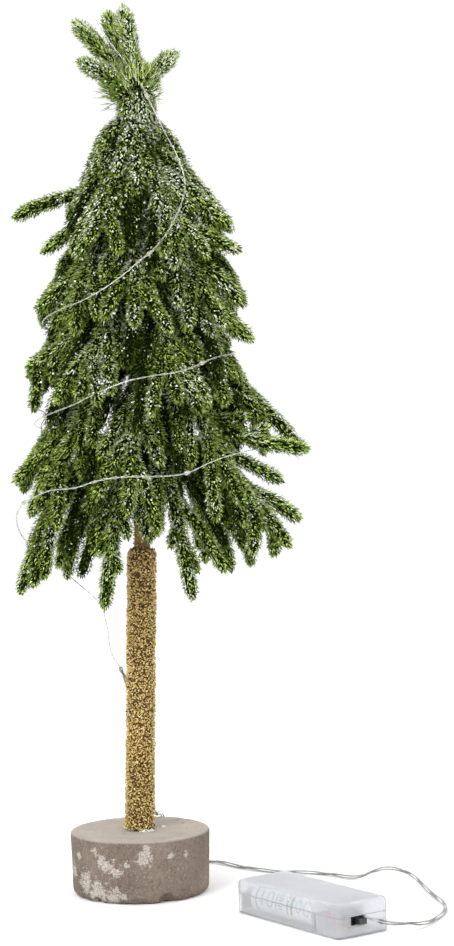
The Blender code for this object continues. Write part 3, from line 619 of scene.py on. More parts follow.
def cell_finish(name, across, from_end, way):
    """A white jacket printed with green rings, striped bars and plain bands."""
    f = Finish(name)
    side, along, up = f.split(in_box_coordinates(f))
    out = f.math("SUBTRACT", side, across)
    over = f.math("SUBTRACT", up, CELL_MIDDLE_HEIGHT)
    run = f.math("MULTIPLY", f.math("SUBTRACT", along, from_end), way)
    around = f.math("ARCTAN2", out, over)
    arc = f.math("MULTIPLY", f.math("ADD", around, PRINT_MIDDLE), CELL_RADIUS)
    print_area = f.between(run, 0.0452, 0.0462)
    for centre, size, line in PRINT_RINGS:
        long_way = f.math("SUBTRACT", run, centre)
        away = f.math("SQRT", f.math("ADD", f.math("MULTIPLY", long_way, long_way),
                                     f.math("MULTIPLY", f.math("MULTIPLY", arc, arc), 0.4)))
        print_area = f.math("MAXIMUM", print_area, f.between(away, size - line, size))
    stripes = f.math("GREATER_THAN", f.math("PINGPONG", arc, 0.0007), 0.00038)
    for low, high in PRINT_BARS:
        bars = f.math("MULTIPLY", stripes, f.between(run, low, high))
        bars = f.math("MULTIPLY", bars, f.between(arc, -0.0046, 0.0050))
        print_area = f.math("MAXIMUM", print_area, bars)
    for low, high in PRINT_BANDS:
        band = f.math("MULTIPLY", f.between(run, low, high), f.between(arc, -0.0052, 0.0042))
        print_area = f.math("MAXIMUM", print_area, band)
    wear = f.noise(700.0, 4.0, 0.6)
    green = f.ramp(wear, (0.3, (0.002, 0.200, 0.030)), (0.7, (0.008, 0.320, 0.060)))
    white = f.ramp(wear, (0.3, (0.80, 0.82, 0.80)), (0.7, (0.90, 0.91, 0.90)))
    f.to("Base Color", f.mix(print_area, white, green))
    f.to("Roughness", f.ramp(wear, (0.3, 0.22), (0.7, 0.38)))
    f.bump(wear, 0.1, 0.00005)
    return f.material


def black_plastic_finish():
    f = Finish("black_plastic")
    spark = f.noise(1800.0, 3.0)
    rub = f.noise(150.0, 5.0)
    f.to("Base Color", f.ramp(rub, (0.35, (0.010, 0.010, 0.011)), (0.75, (0.035, 0.035, 0.037))))
    f.to("Roughness", f.ramp(spark, (0.3, 0.30), (0.7, 0.52)))
    f.bump(spark, 0.35, 0.00006)
    return f.material


def resistor_finish():
    """A tan body with four colour bands across it."""
    f = Finish("resistor_body")
    side, _, _ = f.split(in_box_coordinates(f))
    step = f.math("PINGPONG", f.math("SUBTRACT", side, 0.0110), 0.0009)
    band = f.math("GREATER_THAN", step, 0.00055)
    lacquer = f.noise(600.0, 3.0)
    tan = f.ramp(lacquer, (0.3, (0.52, 0.38, 0.22)), (0.7, (0.68, 0.54, 0.34)))
    f.to("Base Color", f.mix(band, tan, (0.22, 0.05, 0.03)))
    f.to("Roughness", f.ramp(lacquer, (0.3, 0.3), (0.7, 0.5)))
    f.bump(lacquer, 0.2, 0.00008)
    return f.material


# White bloom on the block: the middle of each patch and how far it spreads
BLOOM_PATCHES = (
    ((0.0034, -0.0366, 0.0239), 0.0046), ((0.0060, -0.0363, 0.0240), 0.0036),
    ((-0.0228, -0.0289, 0.0262), 0.0036), ((-0.0190, -0.0315, 0.0225), 0.0036),
    ((-0.0165, -0.0329, 0.0196), 0.0046), ((-0.0122, -0.0347, 0.0176), 0.0042),
    ((-0.0349, -0.0115, 0.0140), 0.0056), ((-0.0281, -0.0238, 0.0100), 0.0066),
    ((-0.0217, -0.0297, 0.0056), 0.0080), ((-0.0137, -0.0341, 0.0040), 0.0062),
    ((0.0170, -0.0326, 0.0246), 0.0018), ((0.0250, -0.0270, 0.0240), 0.0018),
    ((-0.0060, -0.0363, 0.0210), 0.0018), ((-0.0316, -0.0189, 0.0232), 0.0028),
    ((0.0040, -0.0366, 0.0300), 0.0022), ((0.0300, 0.0213, 0.0100), 0.0080),
    ((-0.0100, 0.0354, 0.0220), 0.0070), ((-0.0340, 0.0140, 0.0090), 0.0060),
)


def concrete_finish():
    """Cast concrete: mottled grey-brown, pin holes darkened with painted shade, sand grains and
    ragged white bloom, and a top face painted lighter as painted light.
    """
    f = Finish("concrete")
    cloud = f.noise(34.0, 6.0, 0.62)
    grain = f.noise(620.0, 5.0, 0.7)
    fine = f.noise(2200.0, 3.0, 0.6)
    sand = f.noise(1150.0, 2.0, 0.5)
    body = f.ramp(
        cloud, (0.30, (0.128, 0.098, 0.075)), (0.50, (0.180, 0.142, 0.111)),
        (0.70, (0.238, 0.193, 0.154)))
    body = f.mix(0.85, body, f.ramp(grain, (0.36, 0.66), (0.50, 1.0), (0.68, 1.12)), "MULTIPLY")
    body = f.mix(f.ramp(sand, (0.60, 0.0), (0.70, 0.55)), body, (0.42, 0.37, 0.31))
    body = f.mix(f.ramp(sand, (0.28, 0.60), (0.38, 0.0)), body, (0.105, 0.082, 0.064))
    pits = f.cells(310.0)
    keep = f.math("GREATER_THAN", f.noise(120.0, 2.0), 0.52)
    pit_and_painted_shade = f.math("MULTIPLY", f.ramp(pits, (0.06, 1.0), (0.13, 0.0)), keep)
    # Painted shade: the pin holes are darkened, besides being pressed in by the bump.
    body = f.mix(pit_and_painted_shade, body, (0.060, 0.048, 0.038))
    _, _, up = f.split(f.coords)
    # Painted light: the top face, which looks up to the lights, is mixed much lighter than the
    # sides.
    top = f.ramp(f.math("MULTIPLY", up, 30.0), (0.950, 0.0), (0.985, 1.0))
    body = f.mix(f.math("MULTIPLY", top, 0.62), body, (0.600, 0.550, 0.485))
    stains = f.ramp(f.noise(105.0, 6.0, 0.7), (0.30, 0.35), (0.42, 0.0))
    body = f.mix(f.math("MULTIPLY", top, stains), body, (0.270, 0.225, 0.185))
    specks = f.ramp(f.cells(165.0), (0.05, 0.75), (0.11, 0.0))
    body = f.mix(f.math("MULTIPLY", top, specks), body, (0.115, 0.092, 0.074))
    ragged = f.math("SUBTRACT", f.noise(240.0, 8.0, 0.78, f.mapped((1.0, 1.0, 1.3))), 0.5)
    bloom = None
    for place, size in BLOOM_PATCHES:
        away = f.distance(place)
        near = f.math("SUBTRACT", 1.0, f.math("DIVIDE", away, size))
        bloom = near if bloom is None else f.math("MAXIMUM", bloom, near)
    bloom = f.math("ADD", f.math("MAXIMUM", bloom, -1.0), f.math("MULTIPLY", ragged, 5.6))
    white = f.ramp(bloom, (0.20, 0.0), (0.32, 1.0))
    speckle = f.ramp(fine, (0.42, 0.10), (0.54, 1.0))
    f.to("Base Color", f.mix(f.math("MULTIPLY", f.math("MULTIPLY", white, speckle), 0.80),
                             body, (0.60, 0.56, 0.50)))
    f.to("Roughness", f.ramp(grain, (0.3, 0.80), (0.7, 0.97)))
    height = f.math("ADD", f.math("MULTIPLY", grain, 0.8), f.math("MULTIPLY", sand, 0.4))
    height = f.math("ADD", height, f.math("MULTIPLY", white, 0.25))
    f.bump(f.math("SUBTRACT", height, f.math("MULTIPLY", pit_and_painted_shade, 0.9)), 0.6, 0.00040)
    f.set(Specular_IOR_Level=0.25)
    return f.material


def binding_finish():
    """Binding wire with frost and loose fibre caught in it."""
    f = Finish("frosted_binding_wire")
    fibre = f.noise(1200.0, 4.0, 0.6, f.mapped((1.0, 1.0, 3.0)))
    f.to("Base Color", f.ramp(
        fibre, (0.3, (0.22, 0.24, 0.18)), (0.55, (0.46, 0.48, 0.42)), (0.75, (0.78, 0.79, 0.76))))
    f.set(Roughness=0.7, Sheen_Weight=0.2)
    f.bump(fibre, 0.6, 0.0002)
    return f.material


GREEN_PILE = needle_finish()
FROST = frost_finish()
CORK_CHIPS = chip_finish()
WOOD = wood_finish()
STEEL = steel_finish()
NICKEL = steel_finish("nickel_plate", (0.68, 0.66, 0.61))
FAIRY_WIRE = worn_finish(
    "fairy_wire", (700.0, 4.0), ((0.48, 0.47, 0.45), (0.76, 0.76, 0.74)), (0.20, 0.38),
    (0.15, 0.00005), 1.0)
CLEAR_RESIN = epoxy_finish()
LIGHT_CHIP = light_chip_finish()
CLEAR_PVC = clear_pvc_finish("clear_pvc")
SLEEVE_PVC = clear_pvc_finish("clear_sleeve", 0.22, (0.90, 0.90, 0.87))
CONDUCTOR = conductor_finish()
COVER_PLASTIC = frosted_plastic_finish(
    "frosted_cover", 0.17, (0.93, 0.94, 0.985), 0.80, (BOX_HEIGHT, 0.26))
TRAY_PLASTIC = frosted_plastic_finish("frosted_tray", 0.15, (0.955, 0.96, 0.985), 0.78)
BLACK_PLASTIC = black_plastic_finish()
RED_INSULATION = worn_finish(
    "red_insulation", (350.0, 4.0), ((0.40, 0.015, 0.012), (0.58, 0.04, 0.03)), (0.30, 0.50),
    (0.15, 0.00006))
RESISTOR = resistor_finish()
CONCRETE = concrete_finish()
BINDING = binding_finish()


# ---------------------------------------------------------------- branches


def needle_shape():
    """One needle of the pile, one long and one wide: widest towards its tip, keeled and blunt."""
    clear_selection()
    bpy.ops.mesh.primitive_cone_add(
        vertices=3, radius1=0.5, radius2=0.0, depth=1.0, location=(0.0, 0.0, 0.5))
    obj = bpy.context.object
    bpy.ops.object.transform_apply(location=True, rotation=True, scale=True)
    for vertex in obj.data.vertices:
        vertex.select = vertex.co.y < -0.1
    bpy.ops.object.mode_set(mode="EDIT")
    bpy.ops.mesh.select_mode(type="VERT")
    bpy.ops.transform.translate(value=(0.0, 0.0, 0.66))
    bpy.ops.object.mode_set(mode="OBJECT")
    return triangles_of(obj)


NEEDLE_POINTS, NEEDLE_FACES = needle_shape()

# The stem leans as the dowel does at its foot, and bows back as it rises.
STEM_FOOT = (0.0054, 0.0, 0.1987)
STEM_LEAN = 0.0325
STEM_BOW = 0.1126


def ring_centres(node):
    """A branch's centre line and radius: the rings of its CAD solid, root first."""
    mesh = NODES[node].data
    corners = np.array([vertex.co for vertex in mesh.vertices])
    _, first, index = np.unique(
        np.round(corners / 1e-5).astype(np.int64), axis=0, return_index=True, return_inverse=True)
    index = index.reshape(-1)
    corners = corners[first]
    stem = np.array([vertex.co for vertex in NODES["stem_rod"].data.vertices])
    gaps = np.linalg.norm(corners[:, None] - stem[None], axis=2).min(axis=1)
    nearest = corners[gaps.argmin()]
    ring = np.argsort(np.linalg.norm(corners - nearest, axis=1))[:6]
    links = {vertex: set() for vertex in range(len(corners))}
    for polygon in mesh.polygons:
        around = [int(index[vertex]) for vertex in polygon.vertices]
        for vertex in around:
            links[vertex].update(around)
    seen, centres, radii = set(), [], []
    ring = {int(vertex) for vertex in ring}
    while ring:
        points = corners[sorted(ring)]
        centres.append(points.mean(axis=0))
        radii.append(np.linalg.norm(points - points.mean(axis=0), axis=1).mean())
        seen |= ring
        ring = {other for vertex in ring for other in links[vertex]} - seen
    return np.array(centres), np.array(radii)


def frost_share(points):
    """How frosted each place of the tree is: more at the top and down its middle."""
    cloud = np.array([noise.noise(Vector(point) * 55.0) for point in points])
    fine = np.array([noise.noise(Vector(point) * 210.0) for point in points])
    height = np.clip((points[:, 2] - 0.20) / 0.25, 0.0, 1.0)
    middle = np.exp(-((points[:, 0] - 0.005) / 0.045) ** 2)
    side = np.clip(points[:, 0] / 0.05, -1.0, 1.0)
    return 0.01 + 0.16 * height + 0.11 * middle + 0.05 * side + 0.46 * cloud + 0.20 * fine


def pile_on(line, reach, rng, per_metre=NEEDLES_PER_METRE, lean=LEAN, frost=0.0, shade=1.0):
    """The needles round one wire: their roots, directions, curls, lengths, widths and tones."""
    travelled = distances_along(line)
    length = travelled[-1]
    count = max(8, int(length * per_metre))
    place = (np.arange(count) + rng.random(count)) / count * length
    tangents, sides, others = carried_frames(line)
    roots = at_distance(line, travelled, place)
    tangent = unit(at_distance(tangents, travelled, place))
    side = unit(at_distance(sides, travelled, place))
    other = unit(at_distance(others, travelled, place))
    turn = np.arange(count) * GOLDEN_ANGLE + rng.normal(0.0, 0.5, count)
    radial = side * np.cos(turn)[:, None] + other * np.sin(turn)[:, None]
    tipness = np.clip(1.0 - (length - place) / 0.004, 0.0, 1.0)
    angle = np.radians(rng.uniform(lean[0], lean[1], count)) * (1.0 - 0.45 * tipness)
    heading = tangent * np.cos(angle)[:, None] + radial * np.sin(angle)[:, None]
    heading = unit(heading + rng.normal(0.0, 0.15, (count, 3)))
    wanted = at_distance(reach, travelled, place)
    depth = wanted * HEART_SHARE * (1.0 - 0.8 * tipness) * rng.uniform(0.75, 1.05, count)
    lengths = wanted * (1.0 - HEART_SHARE) / math.sin(math.radians(sum(lean) / 2))
    lengths = lengths * rng.uniform(0.70, 1.35, count)
    curl = unit(tangent - heading * np.sum(tangent * heading, axis=1, keepdims=True))
    widths = rng.uniform(0.7, 1.3, count)
    roots = roots + radial * depth[:, None]
    tips = roots + heading * lengths[:, None]
    share = frost_share(tips) + 0.16 * heading[:, 2] + frost
    # Painted shade: a shade below one thins the frost and darkens the tones, so the inner ropes read
    # dark deep in the canopy.
    frosted = rng.random(count) < share * shade
    # Painted light: needles that point up get a slightly lighter tone.
    plain = np.clip(rng.normal(0.30, 0.17, count) + 0.05 * heading[:, 2], 0.02, 0.50) * shade
    white = np.clip(0.54 + 0.44 * rng.random(count) * np.clip(share + 0.35, 0.2, 1.0), 0.54, 0.985)
    tones = np.where(frosted, white, plain)
    return roots, heading, curl, lengths, widths, tones, tips


def stamped_needles(pile, rng):
    """Points, triangles and map of all the needles of a pile."""
    roots, heading, curl, lengths, widths, tones, _ = pile
    across = np.cross(curl, heading)
    local = NEEDLE_POINTS
    points = (
        roots[:, None]
        + across[:, None] * (local[None, :, 0:1] * (widths * NEEDLE_WIDTH)[:, None, None])
        + curl[:, None] * (local[None, :, 1:2] * (widths * NEEDLE_KEEL)[:, None, None])
        + heading[:, None] * (local[None, :, 2:3] * lengths[:, None, None]))
    bend = rng.uniform(-0.05, 0.22, len(roots)) * lengths
    points = points + curl[:, None] * (local[None, :, 2:3] ** 2 * bend[:, None, None])
    count, size = len(roots), len(local)
    faces = NEEDLE_FACES[None] + (np.arange(count) * size)[:, None, None]
    corner = local[NEEDLE_FACES]
    uv = np.empty((count, len(NEEDLE_FACES), 3, 2))
    uv[..., 0] = tones[:, None, None] + UV_SLIT * (corner[None, ..., 0] + corner[None, ..., 1])
    uv[..., 1] = 0.01 + 0.98 * corner[None, ..., 2]
    return points.reshape(-1, 3), faces.reshape(-1, 3), uv.reshape(-1, 2)


def even_map(faces, tone, along):
    """A small map patch of one tone for every triangle."""
    uv = np.empty((len(faces), 3, 2))
    uv[..., 0] = tone + np.array((0.0, UV_SLIT, UV_SLIT))
    uv[..., 1] = along + np.array((0.0, 0.0, 0.06))
    return uv.reshape(-1, 2)


def wire_end(line, rng):
    """The two twisted wires that stick out of a rope's tip."""
    ahead = unit(line[-1] - line[-2])
    tip = line[-1] + ahead * rng.uniform(0.0006, 0.0034)
    fine = resampled(np.vstack([line[-1] - ahead * 0.003, tip]), 0.0007)
    _, side, other = carried_frames(fine)
    turn = distances_along(fine) / 0.0046 * 2 * math.pi
    parts = []
    for start in (0.0, math.pi):
        offset = (side * np.cos(turn + start)[:, None] + other * np.sin(turn + start)[:, None])
        parts.append(tube_mesh(fine + offset * CORE_RADIUS * 0.4, CORE_RADIUS * 0.4, 4))
    return joined(parts)


def rope(line, reach, rng, frost=0.0, per_metre=NEEDLES_PER_METRE, lean=LEAN, shade=1.0):
    """A length of pile: its near-black heart, which is painted shade deep in the pile, its needles
    and the wire end, with the needle tips.
    """
    pile = pile_on(line, reach, rng, per_metre, lean, frost, shade)
    points, faces, uv = stamped_needles(pile, rng)
    heart_line = resampled(line, 0.003)
    heart = np.interp(distances_along(heart_line), distances_along(line), reach) * HEART_SHARE
    heart[-1] *= 0.4
    heart_points, heart_faces = tube_mesh(heart_line, heart, 7)
    end_points, end_faces = wire_end(line, rng)
    parts = [(points, faces), (heart_points, heart_faces), (end_points, end_faces)]
    # Painted shade: the heart gets the darkest tone, low on the root ramp.
    maps = [uv, even_map(heart_faces, 0.05, 0.20), even_map(end_faces, 0.10, 0.80)]
    *_, tones, tips = pile
    return parts, maps, (tips, tones)


def shoots(line, rng, count, longest, first=0.10, last=0.86, hang=(0.28, 0.60)):
    """The side shoots' lines: each leaves its branch at a slant, then hangs beside it."""
    travelled = distances_along(line)
    tangents, _, _ = carried_frames(line)
    made = []
    for number in range(count):
        share = first + (last - first) * (number + 0.8 * rng.random()) / count
        place = np.array([share * travelled[-1]])
        start = at_distance(line, travelled, place)[0]
        ahead = unit(at_distance(tangents, travelled, place))[0]
        level = unit(np.cross(ahead, (0.0, 0.0, 1.0)))
        way = 1.0 if number % 2 == 0 else -1.0
        slant = math.radians(rng.uniform(24.0, 50.0))
        outward = unit(np.array((start[0], start[1], 0.0)) + 1e-6)
        out = unit(level * way + outward * rng.uniform(-0.1, 0.5))
        leaving = ahead * math.cos(slant) + out * math.sin(slant)
        length = longest * rng.uniform(0.62, 1.0) * (1.15 - 0.45 * share)
        t = np.linspace(0.0, 1.0, 10)[:, None]
        sag = np.array((0.0, 0.0, -1.0)) * length * rng.uniform(*hang)
        curve = start + leaving * length * t + sag * t ** 2
        made.append(resampled(kept_inside(curve), 0.0015))
    return made


# How far from the stem the side shoots may hang, by height
CANOPY_HEIGHTS = (
    0.150, 0.165, 0.180, 0.210, 0.240, 0.270, 0.300, 0.330, 0.350, 0.375, 0.400, 0.420)
CANOPY_RADII = (
    0.058, 0.064, 0.070, 0.070, 0.064, 0.058, 0.052, 0.047, 0.041, 0.027, 0.016, 0.011)

# How low the shoots may hang, by distance across from the stem
FOOT_PLACES = (0.000, 0.018, 0.034)
FOOT_HEIGHTS = (0.189, 0.186, 0.166)


def stem_x(heights):
    """The stem's centre across the tree, by height."""
    above = np.maximum(0.0, heights - STEM_FOOT[2])
    return STEM_FOOT[0] + (STEM_LEAN - STEM_BOW * above) * above


def kept_inside(curve):
    """A shoot's line, which hangs straight down where it would swing out of the canopy."""
    curve = curve.copy()
    middle = stem_x(curve[:, 2])
    away = np.hypot(curve[:, 0] - middle, curve[:, 1])
    limit = np.interp(curve[:, 2], CANOPY_HEIGHTS, CANOPY_RADII)
    share = np.minimum(1.0, limit / np.maximum(away, 1e-6))
    curve[:, 0] = middle + (curve[:, 0] - middle) * share
    curve[:, 1] *= share
    above = curve[:, 2] > np.interp(abs(curve[:, 0] - middle), FOOT_PLACES, FOOT_HEIGHTS)
    keep = len(curve) if above.all() else max(4, int(np.argmin(above)))
    return curve[:keep]


def rope_piece(name, ropes):
    """One piece from the parts and maps of several ropes."""
    parts = [part for some_parts, _, _ in ropes for part in some_parts]
    maps = [one for _, some_maps, _ in ropes for one in some_maps]
    points, faces = joined(parts)
    obj = piece(name, points, faces, GREEN_PILE, np.vstack(maps))
    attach(obj, "tree")
    return obj


def make_branch(
        node, seed, count, longest, last, inner, fullness=1.0, frost=0.0, least=0.0036,
        per_metre=NEEDLES_PER_METRE):
    """A branch and its side shoots in one piece, standing for its CAD solid."""
    rng = np.random.default_rng(seed)
    centres, radii = ring_centres(node)
    line = resampled(smooth_route(centres, 8), 0.0015)
    along = distances_along(line)
    ring_places = distances_along(centres) / distances_along(centres)[-1] * along[-1]
    reach = np.maximum(np.interp(along, ring_places, radii), least) * fullness
    ropes = [rope(line, reach, rng, frost, per_metre)]
    for shoot in shoots(line, rng, count, longest, last=last):
        ropes.append(rope(shoot, np.full(len(shoot), ROPE_RADIUS * 0.92), rng, frost, per_metre))
    if inner:
        # These inner shoots get shade 0.45, painted shade deep in the canopy.
        for shoot in shoots(line, rng, inner, longest, 0.04, 0.42, (0.7, 1.2)):
            ropes.append(rope(
                shoot, np.full(len(shoot), ROPE_RADIUS), rng, frost, INNER_NEEDLES_PER_METRE,
                shade=0.45))
    obj = rope_piece(node.replace("branch", "pile"), ropes)
    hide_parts(node)
    return [tips for _, _, tips in ropes]


BRANCHES = sorted(name for name in NODES if name.startswith("branch_"))
SPRIGS = sorted(name for name in NODES if name.startswith("crown_"))
SHOOTS = {
    "top": (3, 0.022, 0.86, 3), "upper": (5, 0.030, 0.86, 3), "side": (3, 0.020, 0.40, 0),
    "shoulder": (6, 0.036, 0.80, 3)}
LOWER_SHOOTS = (6, 0.040, 0.80, 3)


def make_canopy():
    """All the branches and the crown, and the needle tips where frost can cling."""
    tips = []
    for number, node in enumerate(BRANCHES):
        count, longest, last, inner = SHOOTS.get(node.split("_")[1], LOWER_SHOOTS)
        tips += make_branch(node, 100 + number, count, longest, last, inner)
    for number, node in enumerate(SPRIGS):
        tips += make_branch(
            node, 300 + number, 1, 0.014, 0.6, 0, 1.32, -0.06, 0.0034, CROWN_NEEDLES_PER_METRE)
    return tips


# Shoots that fan out past the canopy's edge: how thick, and points from the pile to the tip
FANNED_SHOOTS = (
    (0.0040, ((-0.012, -0.014, 0.357), (-0.024, -0.018, 0.350), (-0.041, -0.016, 0.339))),
    (0.0040, ((-0.017, -0.014, 0.333), (-0.033, -0.018, 0.319), (-0.045, -0.016, 0.309))),
    (0.0040, ((-0.013, -0.014, 0.304), (-0.031, -0.018, 0.290), (-0.051, -0.016, 0.279))),
    (0.0038, ((-0.015, -0.014, 0.290), (-0.026, -0.020, 0.278), (-0.037, -0.020, 0.270))),
    (0.0040, ((-0.017, -0.014, 0.261), (-0.037, -0.018, 0.241), (-0.059, -0.014, 0.220))),
    (0.0040, ((0.020, -0.014, 0.379), (0.034, -0.016, 0.369), (0.055, -0.014, 0.349))),
    (0.0040, ((0.022, -0.014, 0.358), (0.038, -0.018, 0.348), (0.059, -0.014, 0.337))),
    (0.0050, ((0.027, -0.014, 0.338), (0.046, -0.018, 0.325), (0.060, -0.014, 0.310))),
    (0.0044, ((0.029, -0.014, 0.318), (0.046, -0.018, 0.308), (0.064, -0.014, 0.291))),
    (0.0038, ((0.028, -0.014, 0.292), (0.045, -0.018, 0.283), (0.056, -0.014, 0.272))),
    (0.0044, ((0.025, -0.014, 0.261), (0.060, -0.018, 0.240), (0.092, -0.014, 0.233))),
    (0.0038, ((0.036, -0.014, 0.252), (0.052, -0.018, 0.249), (0.062, -0.016, 0.251))),
    (0.0036, ((0.056, -0.018, 0.241), (0.064, -0.018, 0.241), (0.072, -0.014, 0.245))),
    (0.0040, ((0.034, -0.014, 0.236), (0.056, -0.018, 0.229), (0.078, -0.014, 0.217))),
    (0.0042, ((0.044, -0.014, 0.219), (0.071, -0.018, 0.208), (0.087, -0.014, 0.197))),
)


def make_fanned_shoots():
    """The shoots that stand out from the canopy's edge, bent out by hand."""
    rng = np.random.default_rng(480)
    ropes = []
    for reach, points in FANNED_SHOOTS:
        line = resampled(smooth_route(points, 8), 0.0015)
        ropes.append(rope(line, np.full(len(line), reach), rng))
    obj = rope_piece("fanned_shoots", ropes)
    return [tips for _, _, tips in ropes]


# Dry twiglets that hang out of the pile: each one's points
TWIGLETS = (
    ((-0.0330, -0.0190, 0.2890), (-0.0400, -0.0200, 0.2798), (-0.0384, -0.0200, 0.2753),
     (-0.0417, -0.0200, 0.2714), (-0.0403, -0.0200, 0.2679), (-0.0354, -0.0200, 0.2638),
     (-0.0382, -0.0200, 0.2589), (-0.0377, -0.0200, 0.2530), (-0.0374, -0.0200, 0.2475),
     (-0.0385, -0.0200, 0.2440)),
    ((-0.0220, -0.0200, 0.2740), (-0.0268, -0.0200, 0.2720), (-0.0309, -0.0200, 0.2682),
     (-0.0354, -0.0200, 0.2638)),
    ((-0.0417, -0.0200, 0.2714), (-0.0432, -0.0200, 0.2706), (-0.0440, -0.0200, 0.2712)),
    ((-0.0374, -0.0200, 0.2475), (-0.0400, -0.0200, 0.2452), (-0.0412, -0.0200, 0.2428)),
)

TWIGLET_SHIFT = (-0.0065, -0.0040, -0.0100)
TWIG_RADIUS = 0.00028
BARB_RADIUS = 0.00014
BARB_REACH = 0.0006


def make_twiglets():
    """A few thin dry twigs, bent and hanging, with short barbs."""
    rng = np.random.default_rng(470)
    parts, maps = [], []
    for points in TWIGLETS:
        line = resampled(smooth_route(np.array(points) + TWIGLET_SHIFT, 8), 0.0008)
        line = line + rng.normal(0.0, 0.00012, line.shape)
        thick = TWIG_RADIUS * (1.0 - 0.4 * np.linspace(0.0, 1.0, len(line)))
        tube_points, tube_faces = tube_mesh(line, thick, 5)
        parts.append((tube_points, tube_faces))
        maps.append(even_map(tube_faces, 0.16, 0.55))
        for start in line[::3]:
            barb = start + rng.normal(0.0, BARB_REACH, 3)
            ahead = np.array([start, (start + barb) / 2, barb])
            barb_points, barb_faces = tube_mesh(ahead, BARB_RADIUS, 4)
            parts.append((barb_points, barb_faces))
            maps.append(even_map(barb_faces, 0.20, 0.55))
    points, faces = joined(parts)
    obj = piece("dry_twiglets", points, faces, GREEN_PILE, np.vstack(maps))
    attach(obj, "tree")


def make_neck_tufts():
    """Short ropes tied in under the crown, which hide the binding and the branch roots."""
    rng = np.random.default_rng(450)
    low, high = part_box("neck_binding")
    middle = np.array(((low.x + high.x) / 2, (low.y + high.y) / 2, high.z))
    ropes = []
    for number in range(NECK_TUFTS):
        angle = number * GOLDEN_ANGLE
        out = np.array((math.cos(angle), math.sin(angle), 0.0))
        down = np.array((0.0, 0.0, -1.0))
        reach = rng.uniform(0.007, 0.0105)
        drop = rng.uniform(0.026, 0.040)
        curve = [
            middle + out * 0.0034 + down * 0.001, middle + out * reach * 0.62 - down * 0.0015,
            middle + out * reach * 0.86 + down * drop * 0.22, middle + out * reach + down * drop]
        line = resampled(smooth_route(curve, 6), 0.0015)
        ropes.append(rope(line, np.full(len(line), 0.0036), rng, 0.22))
    obj = rope_piece("neck_tufts", ropes)
    return [tips for _, _, tips in ropes]


def make_stem_pile():
    """The pile wound round the stem between the branch roots."""
    rng = np.random.default_rng(400)
    low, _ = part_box("stem_rod")
    rod = np.array([vertex.co for vertex in NODES["stem_rod"].data.vertices])
    heights = np.unique(np.round(rod[:, 2], 4))
    centres = np.array([rod[abs(rod[:, 2] - z) < 0.002].mean(axis=0) for z in heights])
    centres = centres[centres[:, 2] > low.z + 0.022]
    line = resampled(centres, 0.002)[::-1][8:]
    reach = np.linspace(0.0060, 0.0085, len(line))
    ropes = [rope(line, reach, rng, 0.0, 22000, (50.0, 80.0))]
    obj = rope_piece("stem_pile", ropes)


def flake_shape():
    """A three-sided grain of frost, one wide."""
    clear_selection()
    bpy.ops.mesh.primitive_cone_add(
        vertices=3, radius1=0.56, radius2=0.0, depth=0.8, location=(0.0, 0.0, 0.1))
    obj = bpy.context.object
    bpy.ops.object.transform_apply(location=True, rotation=True, scale=True)
    return triangles_of(obj)


def stamped_lumps(shape, places, sizes, rng, tones):
    """Copies of a small shape turned every way, with their points, triangles and map."""
    points, faces = shape
    count = len(places)
    axis = unit(rng.normal(size=(count, 3)))
    helper = unit(rng.normal(size=(count, 3)))
    side = unit(np.cross(axis, helper))
    other = np.cross(axis, side)
    local = points[None] * sizes[:, None, None]
    placed = (places[:, None] + side[:, None] * local[..., 0:1] + other[:, None] * local[..., 1:2]
              + axis[:, None] * local[..., 2:3])
    all_faces = faces[None] + (np.arange(count) * len(points))[:, None, None]
    uv = np.empty((count, len(faces), 3, 2))
    uv[..., 0] = np.clip(tones, 0.01, 0.98)[:, None, None] + np.array((0.0, UV_SLIT, UV_SLIT))
    lift = rng.random((count, len(faces), 1)) * 0.9
    uv[..., 1] = lift + np.array((0.01, 0.01, 0.05))
    return placed.reshape(-1, 3), all_faces.reshape(-1, 3), uv.reshape(-1, 2)


def frost_piece(name, places, sizes, rng):
    points, faces, uv = stamped_lumps(
        flake_shape(), places, sizes, rng, 0.2 + 0.8 * rng.random(len(places)))
    obj = piece(name, points, faces, FROST, uv)
    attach(obj, "tree")


def make_frost(tips):
    """Frost grains on the outer needle tips, thick where the pile is frosted, and a few fallen."""
    rng = np.random.default_rng(500)
    places = np.vstack([some_tips for some_tips, _ in tips])
    tones = np.concatenate([some_tones for _, some_tones in tips])
    away = np.hypot(places[:, 0] - stem_x(places[:, 2]), places[:, 1])
    outer = np.clip(away / np.interp(places[:, 2], CANOPY_HEIGHTS, CANOPY_RADII), 0.25, 1.2) ** 2
    weight = np.where(tones > 0.53, 0.30, 0.040) * outer
    picked = places[rng.random(len(places)) < weight]
    picked = picked[rng.permutation(len(picked))[:MOST_GRAINS]]
    picked = picked + rng.normal(0.0, 0.00015, picked.shape)
    sizes = 0.00056 + 0.00086 * rng.random(len(picked)) ** 2.0
    frost_piece("frost_grains", picked, sizes, rng)
    heaps = []
    for middle, spread, count in FALLEN:
        heap = np.array(middle) + rng.normal(0.0, 1.0, (count, 3)) * spread
        heap[:, 2] = middle[2] + 0.0002 + abs(heap[:, 2] - middle[2])
        heaps.append(heap)
    heaps = np.vstack(heaps)
    frost_piece("fallen_frost", heaps, 0.0005 + 0.0007 * rng.random(len(heaps)), rng)


# ---------------------------------------------------------------- trunk and base


def rod_line(node, count):
    """The centre line of a leaning straight bar, foot first."""
    points = np.array([vertex.co for vertex in NODES[node].data.vertices])
    low, high = points[:, 2].min(), points[:, 2].max()
    foot = points[points[:, 2] < low + 0.002]
    head = points[points[:, 2] > high - 0.002]
    foot = (foot.min(axis=0) + foot.max(axis=0)) / 2
    head = (head.min(axis=0) + head.max(axis=0)) / 2
    return foot + (head - foot) * np.linspace(0.0, 1.0, count)[:, None]


